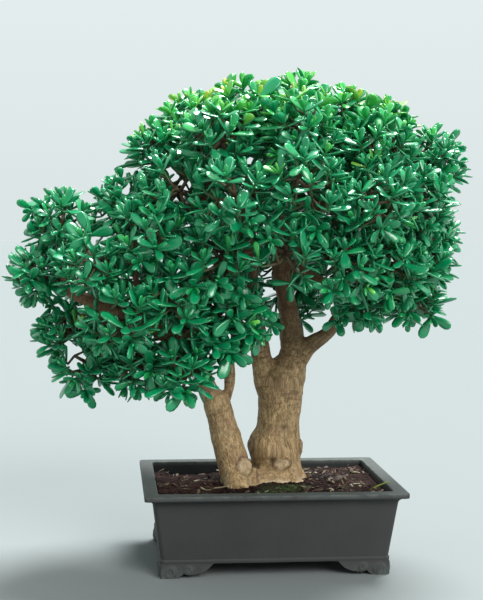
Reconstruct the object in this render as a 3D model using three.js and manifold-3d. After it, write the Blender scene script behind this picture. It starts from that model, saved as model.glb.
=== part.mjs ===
// Jade plant bonsai in a rectangular clay pot.
// Millimetres, +Z up. The front of the pot faces -Y and its long side lies along X.
// The pot is laid out round its own middle, with its feet at z = 0, and the whole plant is moved at the
// end, so that the origin is under the middle of its bounding box.

import * as THREE from "three";
import Module from "manifold-3d";

const wasm = await Module();
wasm.setup();

// Pot: driving dimensions
const RIM_LENGTH = 500;
const RIM_DEPTH = 360;
const POT_HEIGHT = 162;
const RIM_TOP_WIDTH = 26;
const LIP_HEIGHT = 10;
const LIP_OVERHANG = 18;
const COVE_HEIGHT = 15;
const WALL_TAPER = 14;
const FLOOR_THICKNESS = 12;
const WALL_THICKNESS = 12;
const FOOT_HEIGHT = 27;
const FOOT_LENGTH = 102;
const FOOT_SIDE_LENGTH = 84;
const FOOT_THICKNESS = 26;
const FOOT_OVERLAP = 1;
const BAND_HEIGHT = 8;
const BAND_DEPTH = 2;
const UNDERSIDE_INSET = 4;
const RIM_CORNER = 7;
const WALL_CORNER = 9;
const CORNER_STEPS = 2;
const EDGE_EASE = 1.5;
const COVE_OUT_SHARE = 0.9;
const COVE_TURNS = [Math.PI / 6, Math.PI / 3, Math.PI / 2];
const DRAIN_RADIUS = 14;
const DRAIN_SIDES = 10;
const DRAIN_SPACING = 220;
const SCREEN_SIDE = 46;
const SCREEN_THICKNESS = 1.6;
const SCREEN_HOLE = 8;
const SCREEN_PITCH = 14;

// Underside of a foot after its flat toe: the control point and end of each curve, as a share of the
// foot's length and a height
const TOE_SHARE = 0.34;
const FOOT_CURVES = [
  [0.41, 3, 0.44, 9],
  [0.5, 5, 0.6, 5.5],
  [0.86, 7, 1, FOOT_HEIGHT + FOOT_OVERLAP],
];

// Soil: its top lies under the rim and rises a little round the trunks
const SOIL_DEPTH_BELOW_RIM = 16;
const SOIL_MOUND = 8;
const SOIL_MOUND_MIDDLE = [-10, 25];
const SOIL_MOUND_SPREAD = [110, 85];
const SOIL_EDGE_GAP = 1;
const SOIL_RINGS = [1, 0.8, 0.52, 0.22];
const SOIL_CORNER_GROWTH = 60;
const SOIL_LUMPS = { height: 1.6, x: 21, y: 17, start: 1 };
const SOIL_RIPPLES = { height: 1.1, x: 11, y: 13 };

// Clearances between pieces that touch
const GAP = 0.3;
const STEM_GAP = 0.4;
const CELL_GAP = 0.5;

// Room left between the wood and the leaves, the cores and the twig tips
const LEAF_CLEARANCE = 1.5;
const CORE_CLEARANCE = 4;
const TIP_CLEARANCE = 14;

// Leaves: the pair nearest the tip of a twig is smaller and more upright than the one below it
const LEAF_LENGTH = 36;
const LEAF_WIDTH = 19;
const LEAF_THICKNESS = 4;
const LEAF_LEVEL = 6;
const LOWER_PAIR = { size: [0.95, 1.1], spread: [58, 74] };
const UPPER_PAIR = { size: [0.72, 0.92], spread: [34, 48] };
const LEAF_BENDS = [0, 18, 34];
const LEAST_SPREAD = 14;
const WIDEST_SHARE = 0.6;
const TIP_WIDTH_SHARE = 0.42;
const EDGE_LIFT = 0.8;
const TIP_DROP = 1;

// Rosettes: twigs with their leaves, standing on the cores of the heads
const ROSETTE_COUNT = 112;
const ROSETTE_SPACING = 72;
const DIRECTIONS = 60;
const TIP_INSET = 14;
const TIP_MARGIN = 4;
const TWIG_HALF_WIDTH = 2.4;
const TWIG_ROOT_SHARE = 0.3;
const YOUNG_HEIGHT = 800;

// Cores of the heads, and the stem that carries each
const CORE_SHARE = 0.62;
const CORE_JITTER = [0.92, 1.04];
const CORE_BACK_SHARE = 0.6;
const CORE_BACK_MARGIN = 2;
const CORE_LEAST = 12;
const CORE_STEP = 4;
const PLANE_MARGIN = 20;
const LEAST_SLOPE = 1e-6;
const STEEP = 0.9;
const STEM_RADIUS = 6;
const STEM_START_RADIUS = 5.5;
const STEM_END_RADIUS = 4.5;
const STEM_SHOWN = 10;

// Branch of a head: its thickness at the fork, and what makes a fork a poor choice
const BRANCH_SHARE = 0.8;
const BRANCH_RADIUS = 10;
const FORK_DROP = 30;
const FORK_DROP_COST = 0.9;
const FORK_NEAREST = 70;
const FORK_NEAR_COST = 200;
const FORK_SHARES = [0, 0.25, 0.5, 0.75, 1];
const TRUNKS = ["left_trunk", "right_trunk", "root_stock"];

// Limbs of the one grown plant, each a list of stations [x, y, z, radius]
const LIMBS = {
  left_trunk: [
    [-54, 0, 112, 29], [-61, 0, 142, 29], [-71, 0, 198, 31], [-83, 0, 238, 31],
    [-93, -4, 276, 27], [-104, -6, 312, 26], [-112, -8, 332, 18],
  ],
  left_limb: [
    [-102, -6, 300, 20], [-124, -12, 348, 18], [-148, -20, 394, 16], [-198, -28, 442, 15],
    [-274, -32, 484, 14], [-372, -36, 523, 12], [-404, -36, 542, 9],
  ],
  left_inner_branch: [
    [-92, 0, 295, 11], [-80, 4, 327, 9], [-76, 9, 354, 11], [-76, 18, 396, 9], [-92, 40, 450, 6],
  ],
  left_riser: [[-262, -32, 480, 9], [-262, -28, 545, 7], [-278, -10, 610, 6]],
  root_stock: [[-62, -2, 134, 26], [-20, 18, 134, 36], [26, 44, 136, 48]],
  right_trunk: [
    [28, 50, 100, 50], [28, 50, 142, 54], [27, 50, 172, 50], [23, 52, 211, 55],
    [29, 52, 246, 45], [32, 52, 303, 45], [34, 52, 342, 47], [40, 52, 366, 40], [48, 53, 392, 24],
  ],
  left_fork: [
    [21, 52, 286, 22], [8, 52, 338, 27], [-6, 48, 384, 22], [-14, 42, 430, 19], [-24, 32, 490, 17],
    [-34, 20, 560, 15], [-44, 8, 630, 13], [-60, 0, 688, 11],
  ],
  left_fork_side: [[-44, 8, 622, 10], [-88, 0, 686, 8], [-130, 0, 735, 7]],
  left_fork_front: [[-34, 20, 555, 10], [-32, -40, 606, 8], [-28, -96, 640, 7]],
  left_fork_back: [[-30, 26, 535, 10], [-44, 80, 585, 8], [-60, 108, 640, 7]],
  main_fork: [
    [50, 52, 350, 34], [58, 54, 405, 28], [56, 54, 427, 25], [53, 54, 461, 21.5], [43, 53, 514, 18.5],
    [28, 47, 585, 18], [27, 42, 650, 15], [52, 36, 752, 10],
  ],
  main_fork_east: [[29, 42, 630, 12], [94, 34, 696, 9], [158, 24, 738, 8]],
  main_fork_front: [[29, 44, 600, 11], [62, -20, 632, 9], [92, -90, 655, 7]],
  main_fork_back: [[30, 46, 590, 11], [54, 96, 640, 9], [92, 124, 690, 7]],
  cross_branch: [[30, 46, 602, 13], [74, 36, 574, 11], [118, 20, 548, 9], [148, -10, 560, 7]],
  right_branch: [
    [62, 52, 385, 24], [82, 46, 413, 20], [100, 43, 427, 17], [118, 41, 439, 13], [130, 39, 453, 11],
    [141, 36, 476, 10.5], [154, 32, 494, 10], [204, 16, 575, 10], [238, 14, 612, 8],
  ],
};
const LIMB_SIDES = { left_trunk: 10, right_trunk: 12, root_stock: 8, left_fork: 8, main_fork: 8 };
const OTHER_LIMB_SIDES = 6;
const BRANCH_SIDES = 4;
const THREE_LOBED = 0.05;
const OVAL = 0.03;

// Middles of the two domes that the crown is made of
const CROWN_MIDDLES = [[45, 10, 640], [-290, 0, 510]];

// Root flares: where each leaves the stock and where it dives into the soil, with its two radii
const ROOTS = [
  [[42, 24, 166], [60, -16, 138], 22, 12],
  [[50, 44, 168], [86, 34, 138], 22, 10],
  [[32, 74, 168], [44, 116, 138], 22, 11],
  [[-4, 22, 160], [-8, -22, 138], 20, 12],
  [[-68, 2, 168], [-86, -8, 138], 18, 8],
  [[-62, -4, 176], [-66, -34, 136], 28, 25],
];

// Pruning scars: places where a cut branch healed over, [x, y, z], the way it faces, radius
const SCARS = [
  [[-49, -23, 186], [0.4, -0.9, 0.2], 17],
  [[29, 4, 185], [0, -1, 0.1], 15],
  [[-26, 44, 214], [-1, -0.3, 0.05], 17],
  [[73, 44, 210], [1, -0.2, 0.05], 16],
];
// Stations of a scar: height and size, each as a share of its radius
const SCAR_PROFILE = [[-0.6, 1.15], [0.16, 0.98], [0.4, 0.55]];

// Heads of foliage, one for each leafy stem: middle and reach of the leaf tips, [x, y, z, reach]
const HEADS = [
  // Top of the crown from left to right, then its front and back shoulders
  [-220, -10, 804, 65], [-147, 40, 854, 85], [-55, -50, 860, 86], [45, 30, 885, 84],
  [130, -40, 860, 84], [230, 40, 849, 77], [318, -20, 790, 74],
  [-110, -125, 820, 84], [40, -140, 835, 86], [180, -125, 805, 84],
  [-90, 130, 825, 86], [60, 150, 845, 88], [195, 130, 810, 86],
  // Front of the crown
  [-185, -105, 725, 82], [-90, -205, 715, 90], [40, -225, 730, 90], [165, -200, 705, 90],
  [262, -110, 710, 82], [-115, -165, 600, 84], [0, -215, 615, 86], [115, -190, 600, 84],
  [215, -125, 590, 78], [-80, -130, 520, 64],
  // Back of the crown
  [-185, 120, 735, 84], [-85, 205, 725, 90], [45, 225, 740, 92], [170, 205, 715, 90],
  [265, 115, 705, 84], [-90, 165, 610, 88], [40, 200, 610, 90], [170, 170, 600, 88],
  [60, 150, 510, 76],
  // Right side, and the low heads over the fork
  [318, 25, 660, 73], [297, -30, 595, 70], [299, 20, 524, 67], [172, -80, 532, 66],
  [-44, -98, 484, 52], [-106, -90, 466, 68],
  // Left lobe: its top, its rim, its front and its back
  [-287, -30, 700, 67], [-409, -5, 662, 66], [-296, 80, 672, 72],
  [-444, -15, 570, 64], [-399, 15, 452, 64], [-360, -20, 394, 65], [-262, -55, 392, 66],
  [-181, -100, 389, 67], [-160, 60, 450, 72],
  [-345, -115, 590, 74], [-240, -135, 640, 80], [-190, -145, 530, 76], [-300, -140, 490, 76],
  [-235, 130, 650, 82], [-350, 115, 560, 76], [-230, 135, 520, 78], [-310, 95, 430, 72],
];

// Finishes
const CLAY = new THREE.MeshStandardMaterial({ color: 0x3e4140, roughness: 0.7 });
const PLASTIC = new THREE.MeshStandardMaterial({ color: 0x1c1e1d, roughness: 0.6 });
const EARTH = new THREE.MeshStandardMaterial({ color: 0x3c2323, roughness: 1 });
const BARK = new THREE.MeshStandardMaterial({ color: 0xa5875f, roughness: 0.85 });
const LEAF_GREEN = new THREE.MeshStandardMaterial({ color: 0x05733c, roughness: 0.35 });
const YOUNG_GREEN = new THREE.MeshStandardMaterial({ color: 0x4f9a3c, roughness: 0.35 });

// Repeatable random numbers between 0 and 1
let seed = 2027;
function random() {
  seed = (seed * 48271) % 2147483647;
  return seed / 2147483647;
}
function between(low, high) {
  return low + (high - low) * random();
}

// Closed bodies

function bodyOf(points, faces) {
  const vertProperties = new Float32Array(points.flat());
  const triVerts = new Uint32Array(faces.flat());
  return new wasm.Manifold(new wasm.Mesh({ numProp: 3, vertProperties, triVerts }));
}

function bodyOfGeometry(geometry) {
  const position = geometry.getAttribute("position");
  const index = geometry.index ? geometry.index.array : [...Array(position.count).keys()];
  const numbers = new Map();
  const points = [];
  const number = [];
  for (let i = 0; i < position.count; i++) {
    const point = [position.getX(i), position.getY(i), position.getZ(i)];
    const key = point.map((value) => Math.round(value * 1000)).join();
    if (!numbers.has(key)) numbers.set(key, points.push(point) - 1);
    number.push(numbers.get(key));
  }
  const faces = [];
  for (let i = 0; i < index.length; i += 3) {
    faces.push([number[index[i]], number[index[i + 1]], number[index[i + 2]]]);
  }
  return bodyOf(points, faces);
}

function geometryOf(body) {
  const mesh = body.getMesh();
  const geometry = new THREE.BufferGeometry();
  geometry.setAttribute("position", new THREE.BufferAttribute(mesh.vertProperties, 3));
  geometry.setIndex(new THREE.BufferAttribute(mesh.triVerts, 1));
  geometry.computeVertexNormals();
  return geometry;
}

function joined(bodies) {
  return bodies.reduce((whole, body) => whole.add(body));
}

// A skin over rings of equal count, each anticlockwise seen from where the rings lead, capped at both ends
function loft(rings) {
  const count = rings[0].length;
  const faces = [];
  for (let level = 0; level + 1 < rings.length; level++) {
    for (let i = 0; i < count; i++) {
      const next = (i + 1) % count;
      const a = level * count + i;
      const b = level * count + next;
      faces.push([a, b, b + count], [a, b + count, a + count]);
    }
  }
  const top = (rings.length - 1) * count;
  for (let i = 1; i + 1 < count; i++) {
    faces.push([0, i + 1, i], [top, top + i, top + i + 1]);
  }
  return bodyOf(rings.flat(), faces);
}

// A level rectangle with rounded corners
function roundedRing(halfX, halfY, corner, z) {
  const ring = [];
  for (let quarter = 0; quarter < 4; quarter++) {
    const sideX = quarter === 0 || quarter === 3 ? 1 : -1;
    const sideY = quarter < 2 ? 1 : -1;
    for (let step = 0; step <= CORNER_STEPS; step++) {
      const angle = ((quarter + step / CORNER_STEPS) * Math.PI) / 2;
      ring.push([
        sideX * (halfX - corner) + corner * Math.cos(angle),
        sideY * (halfY - corner) + corner * Math.sin(angle),
        z,
      ]);
    }
  }
  return ring;
}

function slab(low, high) {
  const box = new THREE.BoxGeometry(high[0] - low[0], high[1] - low[1], high[2] - low[2]);
  box.translate((low[0] + high[0]) / 2, (low[1] + high[1]) / 2, (low[2] + high[2]) / 2);
  return bodyOfGeometry(box);
}

// A tapered round limb along its stations, with its section a little out of round
function limb(stations, sides, grow = 0) {
  const centres = stations.map(([x, y, z]) => new THREE.Vector3(x, y, z));
  const last = centres.length - 1;
  const heading = (i) =>
    centres[Math.min(i + 1, last)].clone().sub(centres[Math.max(i - 1, 0)]).normalize();
  const side = new THREE.Vector3(1, 0.2, 0);
  const rings = stations.map(([, , , radius], i) => {
    const ahead = heading(i);
    side.addScaledVector(ahead, -side.dot(ahead)).normalize();
    const across = ahead.clone().cross(side);
    const middle = centres[i].clone();
    if (i === 0) middle.addScaledVector(ahead, -grow);
    if (i === last) middle.addScaledVector(ahead, grow);
    const ring = [];
    for (let k = 0; k < sides; k++) {
      const angle = (2 * Math.PI * k) / sides;
      const outOfRound = 1 + THREE_LOBED * Math.cos(3 * angle + i) + OVAL * Math.cos(2 * angle);
      const reach = radius * outOfRound + grow;
      ring.push(
        middle
          .clone()
          .addScaledVector(side, reach * Math.cos(angle))
          .addScaledVector(across, reach * Math.sin(angle))
          .toArray(),
      );
    }
    return ring;
  });
  return loft(rings);
}

// Pot

const floorTop = FOOT_HEIGHT + FLOOR_THICKNESS;
const wallTopX = RIM_LENGTH / 2 - LIP_OVERHANG;
const wallTopY = RIM_DEPTH / 2 - LIP_OVERHANG;
const wallFootX = wallTopX - WALL_TAPER;
const wallFootY = wallTopY - WALL_TAPER;
const mouthX = RIM_LENGTH / 2 - RIM_TOP_WIDTH;
const mouthY = RIM_DEPTH / 2 - RIM_TOP_WIDTH;
const floorX = wallFootX - WALL_THICKNESS;
const floorY = wallFootY - WALL_THICKNESS;
const coveBottom = POT_HEIGHT - LIP_HEIGHT - COVE_HEIGHT;

function footOutline(length) {
  const outline = new THREE.Shape();
  outline.moveTo(0, 0);
  outline.lineTo(TOE_SHARE * length, 0);
  for (const [bendShare, bendHeight, endShare, endHeight] of FOOT_CURVES) {
    outline.quadraticCurveTo(bendShare * length, bendHeight, endShare * length, endHeight);
  }
  outline.lineTo(0, FOOT_HEIGHT + FOOT_OVERLAP);
  return outline;
}

// Both arms of a corner foot, standing at the corner x > 0, y < 0
function cornerFoot() {
  const settings = { depth: FOOT_THICKNESS, bevelEnabled: false, curveSegments: 2 };
  const front = new THREE.ExtrudeGeometry(footOutline(FOOT_LENGTH), settings);
  front.rotateX(Math.PI / 2);
  front.rotateZ(Math.PI);
  front.translate(wallFootX + BAND_DEPTH, -wallFootY - BAND_DEPTH, 0);
  const side = new THREE.ExtrudeGeometry(footOutline(FOOT_SIDE_LENGTH), settings);
  side.rotateX(Math.PI / 2);
  side.rotateZ(Math.PI / 2);
  side.translate(wallFootX + BAND_DEPTH - FOOT_THICKNESS, -wallFootY - BAND_DEPTH, 0);
  return bodyOfGeometry(front).add(bodyOfGeometry(side));
}

function makePot() {
  const bandX = wallFootX + BAND_DEPTH;
  const bandY = wallFootY + BAND_DEPTH;
  const bandTop = FOOT_HEIGHT + BAND_HEIGHT;
  const rings = [
    roundedRing(wallFootX - UNDERSIDE_INSET, wallFootY - UNDERSIDE_INSET, WALL_CORNER, FOOT_HEIGHT),
    roundedRing(bandX, bandY, WALL_CORNER, FOOT_HEIGHT + EDGE_EASE),
    roundedRing(bandX, bandY, WALL_CORNER, bandTop - EDGE_EASE),
    roundedRing(wallFootX, wallFootY, WALL_CORNER, bandTop),
    roundedRing(wallTopX, wallTopY, WALL_CORNER, coveBottom),
  ];
  for (const turn of COVE_TURNS) {
    const out = COVE_OUT_SHARE * LIP_OVERHANG * (1 - Math.cos(turn));
    const height = coveBottom + COVE_HEIGHT * Math.sin(turn);
    rings.push(roundedRing(wallTopX + out, wallTopY + out, WALL_CORNER, height));
  }
  const lipX = RIM_LENGTH / 2;
  const lipY = RIM_DEPTH / 2;
  rings.push(
    roundedRing(lipX, lipY, RIM_CORNER, POT_HEIGHT - LIP_HEIGHT + EDGE_EASE),
    roundedRing(lipX, lipY, RIM_CORNER, POT_HEIGHT - EDGE_EASE),
    roundedRing(lipX - EDGE_EASE, lipY - EDGE_EASE, RIM_CORNER, POT_HEIGHT),
    roundedRing(mouthX + EDGE_EASE, mouthY + EDGE_EASE, RIM_CORNER, POT_HEIGHT),
    roundedRing(mouthX, mouthY, RIM_CORNER, POT_HEIGHT - EDGE_EASE),
    roundedRing(floorX, floorY, RIM_CORNER, floorTop),
  );
  let pot = loft(rings);
  const foot = cornerFoot();
  for (const mirror of [[1, 1], [-1, 1], [1, -1], [-1, -1]]) {
    pot = pot.add(foot.scale([mirror[0], mirror[1], 1]));
  }
  for (const place of [-DRAIN_SPACING / 2, DRAIN_SPACING / 2]) {
    const depth = 3 * FLOOR_THICKNESS;
    const bore = new THREE.CylinderGeometry(DRAIN_RADIUS, DRAIN_RADIUS, depth, DRAIN_SIDES);
    bore.rotateX(Math.PI / 2);
    bore.translate(place, 0, FOOT_HEIGHT + FLOOR_THICKNESS / 2);
    pot = pot.subtract(bodyOfGeometry(bore));
  }
  return pot;
}

function makeScreen(place) {
  const half = SCREEN_SIDE / 2;
  const bottom = floorTop + GAP;
  let screen = slab([place - half, -half, bottom], [place + half, half, bottom + SCREEN_THICKNESS]);
  for (const column of [-0.5, 0.5]) {
    for (const row of [-0.5, 0.5]) {
      const x = place + column * SCREEN_PITCH;
      const y = row * SCREEN_PITCH;
      const hole = SCREEN_HOLE / 2;
      screen = screen.subtract(
        slab([x - hole, y - hole, bottom - 1], [x + hole, y + hole, bottom + SCREEN_THICKNESS + 1]),
      );
    }
  }
  return screen;
}

// Wood

// Healed cut: a low round swelling
function makeScar([place, facing, radius]) {
  const out = new THREE.Vector3(...facing).normalize();
  const stations = SCAR_PROFILE.map(([height, size]) => [
    ...new THREE.Vector3(...place).addScaledVector(out, height * radius).toArray(),
    size * radius,
  ]);
  return limb(stations, OTHER_LIMB_SIDES);
}

function makeStock(grow) {
  const limbs = Object.entries(LIMBS).map(([name, stations]) =>
    limb(stations, LIMB_SIDES[name] ?? OTHER_LIMB_SIDES, grow),
  );
  const roots = ROOTS.map(([start, end, radius, endRadius]) =>
    limb([[...start, radius], [...end, endRadius]], OTHER_LIMB_SIDES, grow),
  );
  return joined([...limbs, ...roots]);
}

// Heads of foliage

const heads = HEADS.map(([x, y, z, reach], number) => ({
  number,
  middle: new THREE.Vector3(x, y, z),
  reach,
}));

// Planes that keep each head to its own share of the crown
for (const head of heads) {
  head.planes = heads
    .filter((other) => other !== head)
    .map((other) => {
      const facing = other.middle.clone().sub(head.middle);
      const distance = facing.length();
      facing.divideScalar(distance);
      const share = (distance ** 2 + head.reach ** 2 - other.reach ** 2) / (2 * distance);
      return { facing, distance: share - CELL_GAP };
    })
    .filter((plane) => plane.distance < head.reach + PLANE_MARGIN);
}

// How far a head may grow along a direction before it meets a neighbour
function room(head, direction) {
  let nearest = Infinity;
  for (const { facing, distance } of head.planes) {
    const slope = facing.dot(direction);
    if (slope > LEAST_SLOPE) nearest = Math.min(nearest, distance / slope);
  }
  return nearest;
}

function inShare(head, point) {
  const away = point.clone().sub(head.middle);
  return head.planes.every(({ facing, distance }) => facing.dot(away) <= distance);
}

// Every straight stretch of wood, with its radius a at one end and b at the other, to keep leaves clear of it
const stretches = [];
function noteStretches(stations) {
  for (let i = 0; i + 1 < stations.length; i++) {
    const [ax, ay, az, a] = stations[i];
    const [bx, by, bz, b] = stations[i + 1];
    stretches.push({ from: new THREE.Vector3(ax, ay, az), to: new THREE.Vector3(bx, by, bz), a, b });
  }
}
Object.values(LIMBS).forEach(noteStretches);

// Distance from a point to the surface of the nearest wood
function woodDistance(point) {
  let nearest = Infinity;
  for (const { from, to, a, b } of stretches) {
    const along = to.clone().sub(from);
    const share = THREE.MathUtils.clamp(point.clone().sub(from).dot(along) / along.lengthSq(), 0, 1);
    const distance = from.clone().addScaledVector(along, share).distanceTo(point);
    nearest = Math.min(nearest, distance - THREE.MathUtils.lerp(a, b, share));
  }
  return nearest;
}

// Where a head's branch leaves the limbs: near, and not from above
function forkPoint(head) {
  let best = null;
  for (const [name, stations] of Object.entries(LIMBS)) {
    if (TRUNKS.includes(name)) continue;
    for (let i = 0; i + 1 < stations.length; i++) {
      for (const share of FORK_SHARES) {
        const [x, y, z, radius] = stations[i].map((v, k) => v + (stations[i + 1][k] - v) * share);
        const place = new THREE.Vector3(x, y, z);
        const distance = place.distanceTo(head.middle);
        const drop = FORK_DROP_COST * Math.max(0, z + FORK_DROP - head.middle.z);
        const cost = distance + drop + (distance < FORK_NEAREST ? FORK_NEAR_COST : 0);
        if (!best || cost < best.cost) best = { place, radius, cost };
      }
    }
  }
  return best;
}

for (const head of heads) {
  const { place, radius } = forkPoint(head);
  head.inward = place.clone().sub(head.middle).normalize();
  const coreBack = Math.min(CORE_BACK_SHARE * head.reach, room(head, head.inward) - CORE_BACK_MARGIN);
  head.branchEnd = head.middle.clone().addScaledVector(head.inward, coreBack + STEM_SHOWN);
  head.branch = [
    [...place.toArray(), Math.min(BRANCH_SHARE * radius, BRANCH_RADIUS)],
    [...head.branchEnd.toArray(), STEM_RADIUS],
  ];
  noteStretches(head.branch);
}

function makeBranches(grow) {
  return heads.map((head) => limb(head.branch, BRANCH_SIDES, grow));
}

// Core of a head: a coarse ball, cut back wherever a neighbour or a limb is near. The most outward
// twig stands in the middle of one of its faces.
function makeCore(head) {
  const ball = new THREE.IcosahedronGeometry(1, 0);
  const position = ball.getAttribute("position");
  const face = [0, 1, 2].map((i) => new THREE.Vector3().fromBufferAttribute(position, i));
  const faceWay = face[0].add(face[1]).add(face[2]).normalize();
  const turn = new THREE.Quaternion().setFromUnitVectors(faceWay, head.rosettes[0]);
  const cache = new Map();
  for (let i = 0; i < position.count; i++) {
    const direction = new THREE.Vector3().fromBufferAttribute(position, i).applyQuaternion(turn);
    const key = direction.toArray().map((v) => v.toFixed(4)).join();
    if (!cache.has(key)) {
      let reach = Math.min(CORE_SHARE * head.reach * between(...CORE_JITTER), room(head, direction));
      const point = () => head.middle.clone().addScaledVector(direction, reach);
      while (reach > CORE_LEAST && woodDistance(point()) < CORE_CLEARANCE) reach -= CORE_STEP;
      cache.set(key, point());
    }
    position.setXYZ(i, ...cache.get(key).toArray());
  }
  return bodyOfGeometry(ball);
}

// A leafy twig: a square stem of stacked rings, from whose sides crossed pairs of leaves are drawn out
function leafyTwig(head, base, axis, length, turn) {
  const reference = Math.abs(axis.z) < STEEP ? new THREE.Vector3(0, 0, 1) : new THREE.Vector3(1, 0, 0);
  const u = reference.cross(axis).normalize().applyAxisAngle(axis, turn);
  const v = axis.clone().cross(u);
  const corners = [[1, 1], [-1, 1], [-1, -1], [1, -1]];
  const heights = [0, length - 3 * LEAF_LEVEL, length - 2 * LEAF_LEVEL, length - LEAF_LEVEL];
  const points = [];
  for (const height of heights) {
    for (const [across, up] of corners) {
      points.push(
        base
          .clone()
          .addScaledVector(axis, height)
          .addScaledVector(u, across * TWIG_HALF_WIDTH)
          .addScaledVector(v, up * TWIG_HALF_WIDTH),
      );
    }
  }
  const faces = [[0, 2, 1], [0, 3, 2]];
  let leaves = 0;
  for (let level = 0; level + 1 < heights.length; level++) {
    const pair = level === 1 ? LOWER_PAIR : UPPER_PAIR;
    for (let i = 0; i < 4; i++) {
      const next = (i + 1) % 4;
      const root = [level * 4 + i, level * 4 + next, level * 4 + 4 + next, level * 4 + 4 + i];
      const outward = [v, u.clone().negate(), v.clone().negate(), u][i];
      const bearsLeaf = level > 0 && i % 2 === level % 2;
      const size = between(...pair.size);
      const spread = between(...pair.spread);
      if (bearsLeaf && drawLeaf(head, points, faces, root, outward, axis, size, spread)) leaves++;
      else faces.push([root[0], root[1], root[2]], [root[0], root[2], root[3]]);
    }
  }
  const apex = points.push(base.clone().addScaledVector(axis, length)) - 1;
  const top = 4 * (heights.length - 1);
  for (let i = 0; i < 4; i++) faces.push([top + i, top + ((i + 1) % 4), apex]);
  return leaves ? bodyOf(points.map((point) => point.toArray()), faces) : null;
}

// Draws one leaf out of the four-cornered root, bent up until it is clear of wood and neighbours
function drawLeaf(head, points, faces, root, outward, axis, size, spread) {
  const [a, b, c, d] = root.map((i) => points[i]);
  const foot = a.clone().add(b).add(c).add(d).multiplyScalar(0.25);
  const side = b.clone().sub(a).normalize();
  const length = LEAF_LENGTH * size;
  const halfWidth = (LEAF_WIDTH / 2) * size;
  for (const bend of LEAF_BENDS) {
    const angle = THREE.MathUtils.degToRad(Math.max(spread - bend, LEAST_SPREAD));
    const along = outward.clone().multiplyScalar(Math.sin(angle)).addScaledVector(axis, Math.cos(angle));
    const up = side.clone().cross(along).negate();
    if (up.dot(axis) < 0) up.negate();
    const at = (share, across, lift) =>
      foot
        .clone()
        .addScaledVector(along, share * length)
        .addScaledVector(side, across * halfWidth)
        .addScaledVector(up, lift);
    const blade = [
      at(WIDEST_SHARE, 0, -LEAF_THICKNESS / 2),
      at(WIDEST_SHARE, 1, EDGE_LIFT),
      at(WIDEST_SHARE, 0, LEAF_THICKNESS / 2),
      at(WIDEST_SHARE, -1, EDGE_LIFT),
      at(1, TIP_WIDTH_SHARE, -TIP_DROP),
      at(1, -TIP_WIDTH_SHARE, -TIP_DROP),
    ];
    const clear = blade.every((point) => inShare(head, point) && woodDistance(point) > LEAF_CLEARANCE);
    if (!clear || woodDistance(at(WIDEST_SHARE / 2, 0, 0)) < LEAF_CLEARANCE) continue;
    const first = points.length;
    points.push(...blade);
    const [bottom, right, top, left, tipRight, tipLeft] = blade.map((_, i) => first + i);
    const [A, B, C, D] = root;
    faces.push(
      [A, B, bottom], [B, right, bottom], [B, C, right], [C, top, right],
      [C, D, top], [D, left, top], [D, A, left], [A, bottom, left],
      [bottom, right, tipRight], [right, top, tipRight], [top, left, tipLeft],
      [left, bottom, tipLeft], [tipRight, top, tipLeft], [bottom, tipRight, tipLeft],
    );
    return true;
  }
  return false;
}

// Directions spread evenly over a ball
function evenDirection(i, count) {
  const z = 1 - (2 * i + 1) / count;
  const ring = Math.sqrt(1 - z * z);
  const angle = i * Math.PI * (3 - Math.sqrt(5));
  return new THREE.Vector3(ring * Math.cos(angle), ring * Math.sin(angle), z);
}

// Chooses where rosettes stand: one more on each head in turn, the most outward first, evenly apart
function placeRosettes() {
  const tips = [];
  const up = new THREE.Vector3(0, 0, 1);
  for (const head of heads) {
    const length = head.reach - TIP_INSET;
    const turn = random() * 2 * Math.PI;
    const outward = CROWN_MIDDLES.map((middle) => head.middle.clone().sub(new THREE.Vector3(...middle)))
      .reduce((near, far) => (far.length() < near.length() ? far : near));
    head.tipOf = (direction) => head.middle.clone().addScaledVector(direction, length);
    head.rosettes = [];
    head.candidates = Array.from({ length: DIRECTIONS }, (_, i) =>
      evenDirection(i, DIRECTIONS).applyAxisAngle(up, turn),
    )
      .filter((way) => room(head, way) > length + TIP_MARGIN)
      .filter((way) => woodDistance(head.tipOf(way)) > TIP_CLEARANCE)
      .sort((one, other) => other.dot(outward) - one.dot(outward));
  }
  let placed = true;
  while (placed && tips.length < ROSETTE_COUNT) {
    placed = false;
    for (const head of heads) {
      const free = (way) => tips.every((tip) => tip.distanceTo(head.tipOf(way)) > ROSETTE_SPACING);
      const way = head.candidates.find(free);
      if (!way || tips.length >= ROSETTE_COUNT) continue;
      head.rosettes.push(way);
      tips.push(head.tipOf(way));
      placed = true;
    }
  }
}
placeRosettes();

function makeLeafyStem(head, woodGrown) {
  const start = head.branchEnd.clone().addScaledVector(head.inward, -STEM_GAP);
  const stem = limb(
    [[...start.toArray(), STEM_START_RADIUS], [...head.middle.toArray(), STEM_END_RADIUS]],
    BRANCH_SIDES,
  );
  let body = makeCore(head).add(stem);
  for (const way of head.rosettes) {
    const root = TWIG_ROOT_SHARE * head.reach;
    const base = head.middle.clone().addScaledVector(way, root);
    const twig = leafyTwig(head, base, way, head.reach - TIP_INSET - root, random() * Math.PI);
    if (twig) body = body.add(twig);
  }
  if (body.intersect(woodGrown).volume() > 0) body = body.subtract(woodGrown);
  return body.decompose().reduce((most, piece) => (piece.volume() > most.volume() ? piece : most));
}

// Soil

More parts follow.
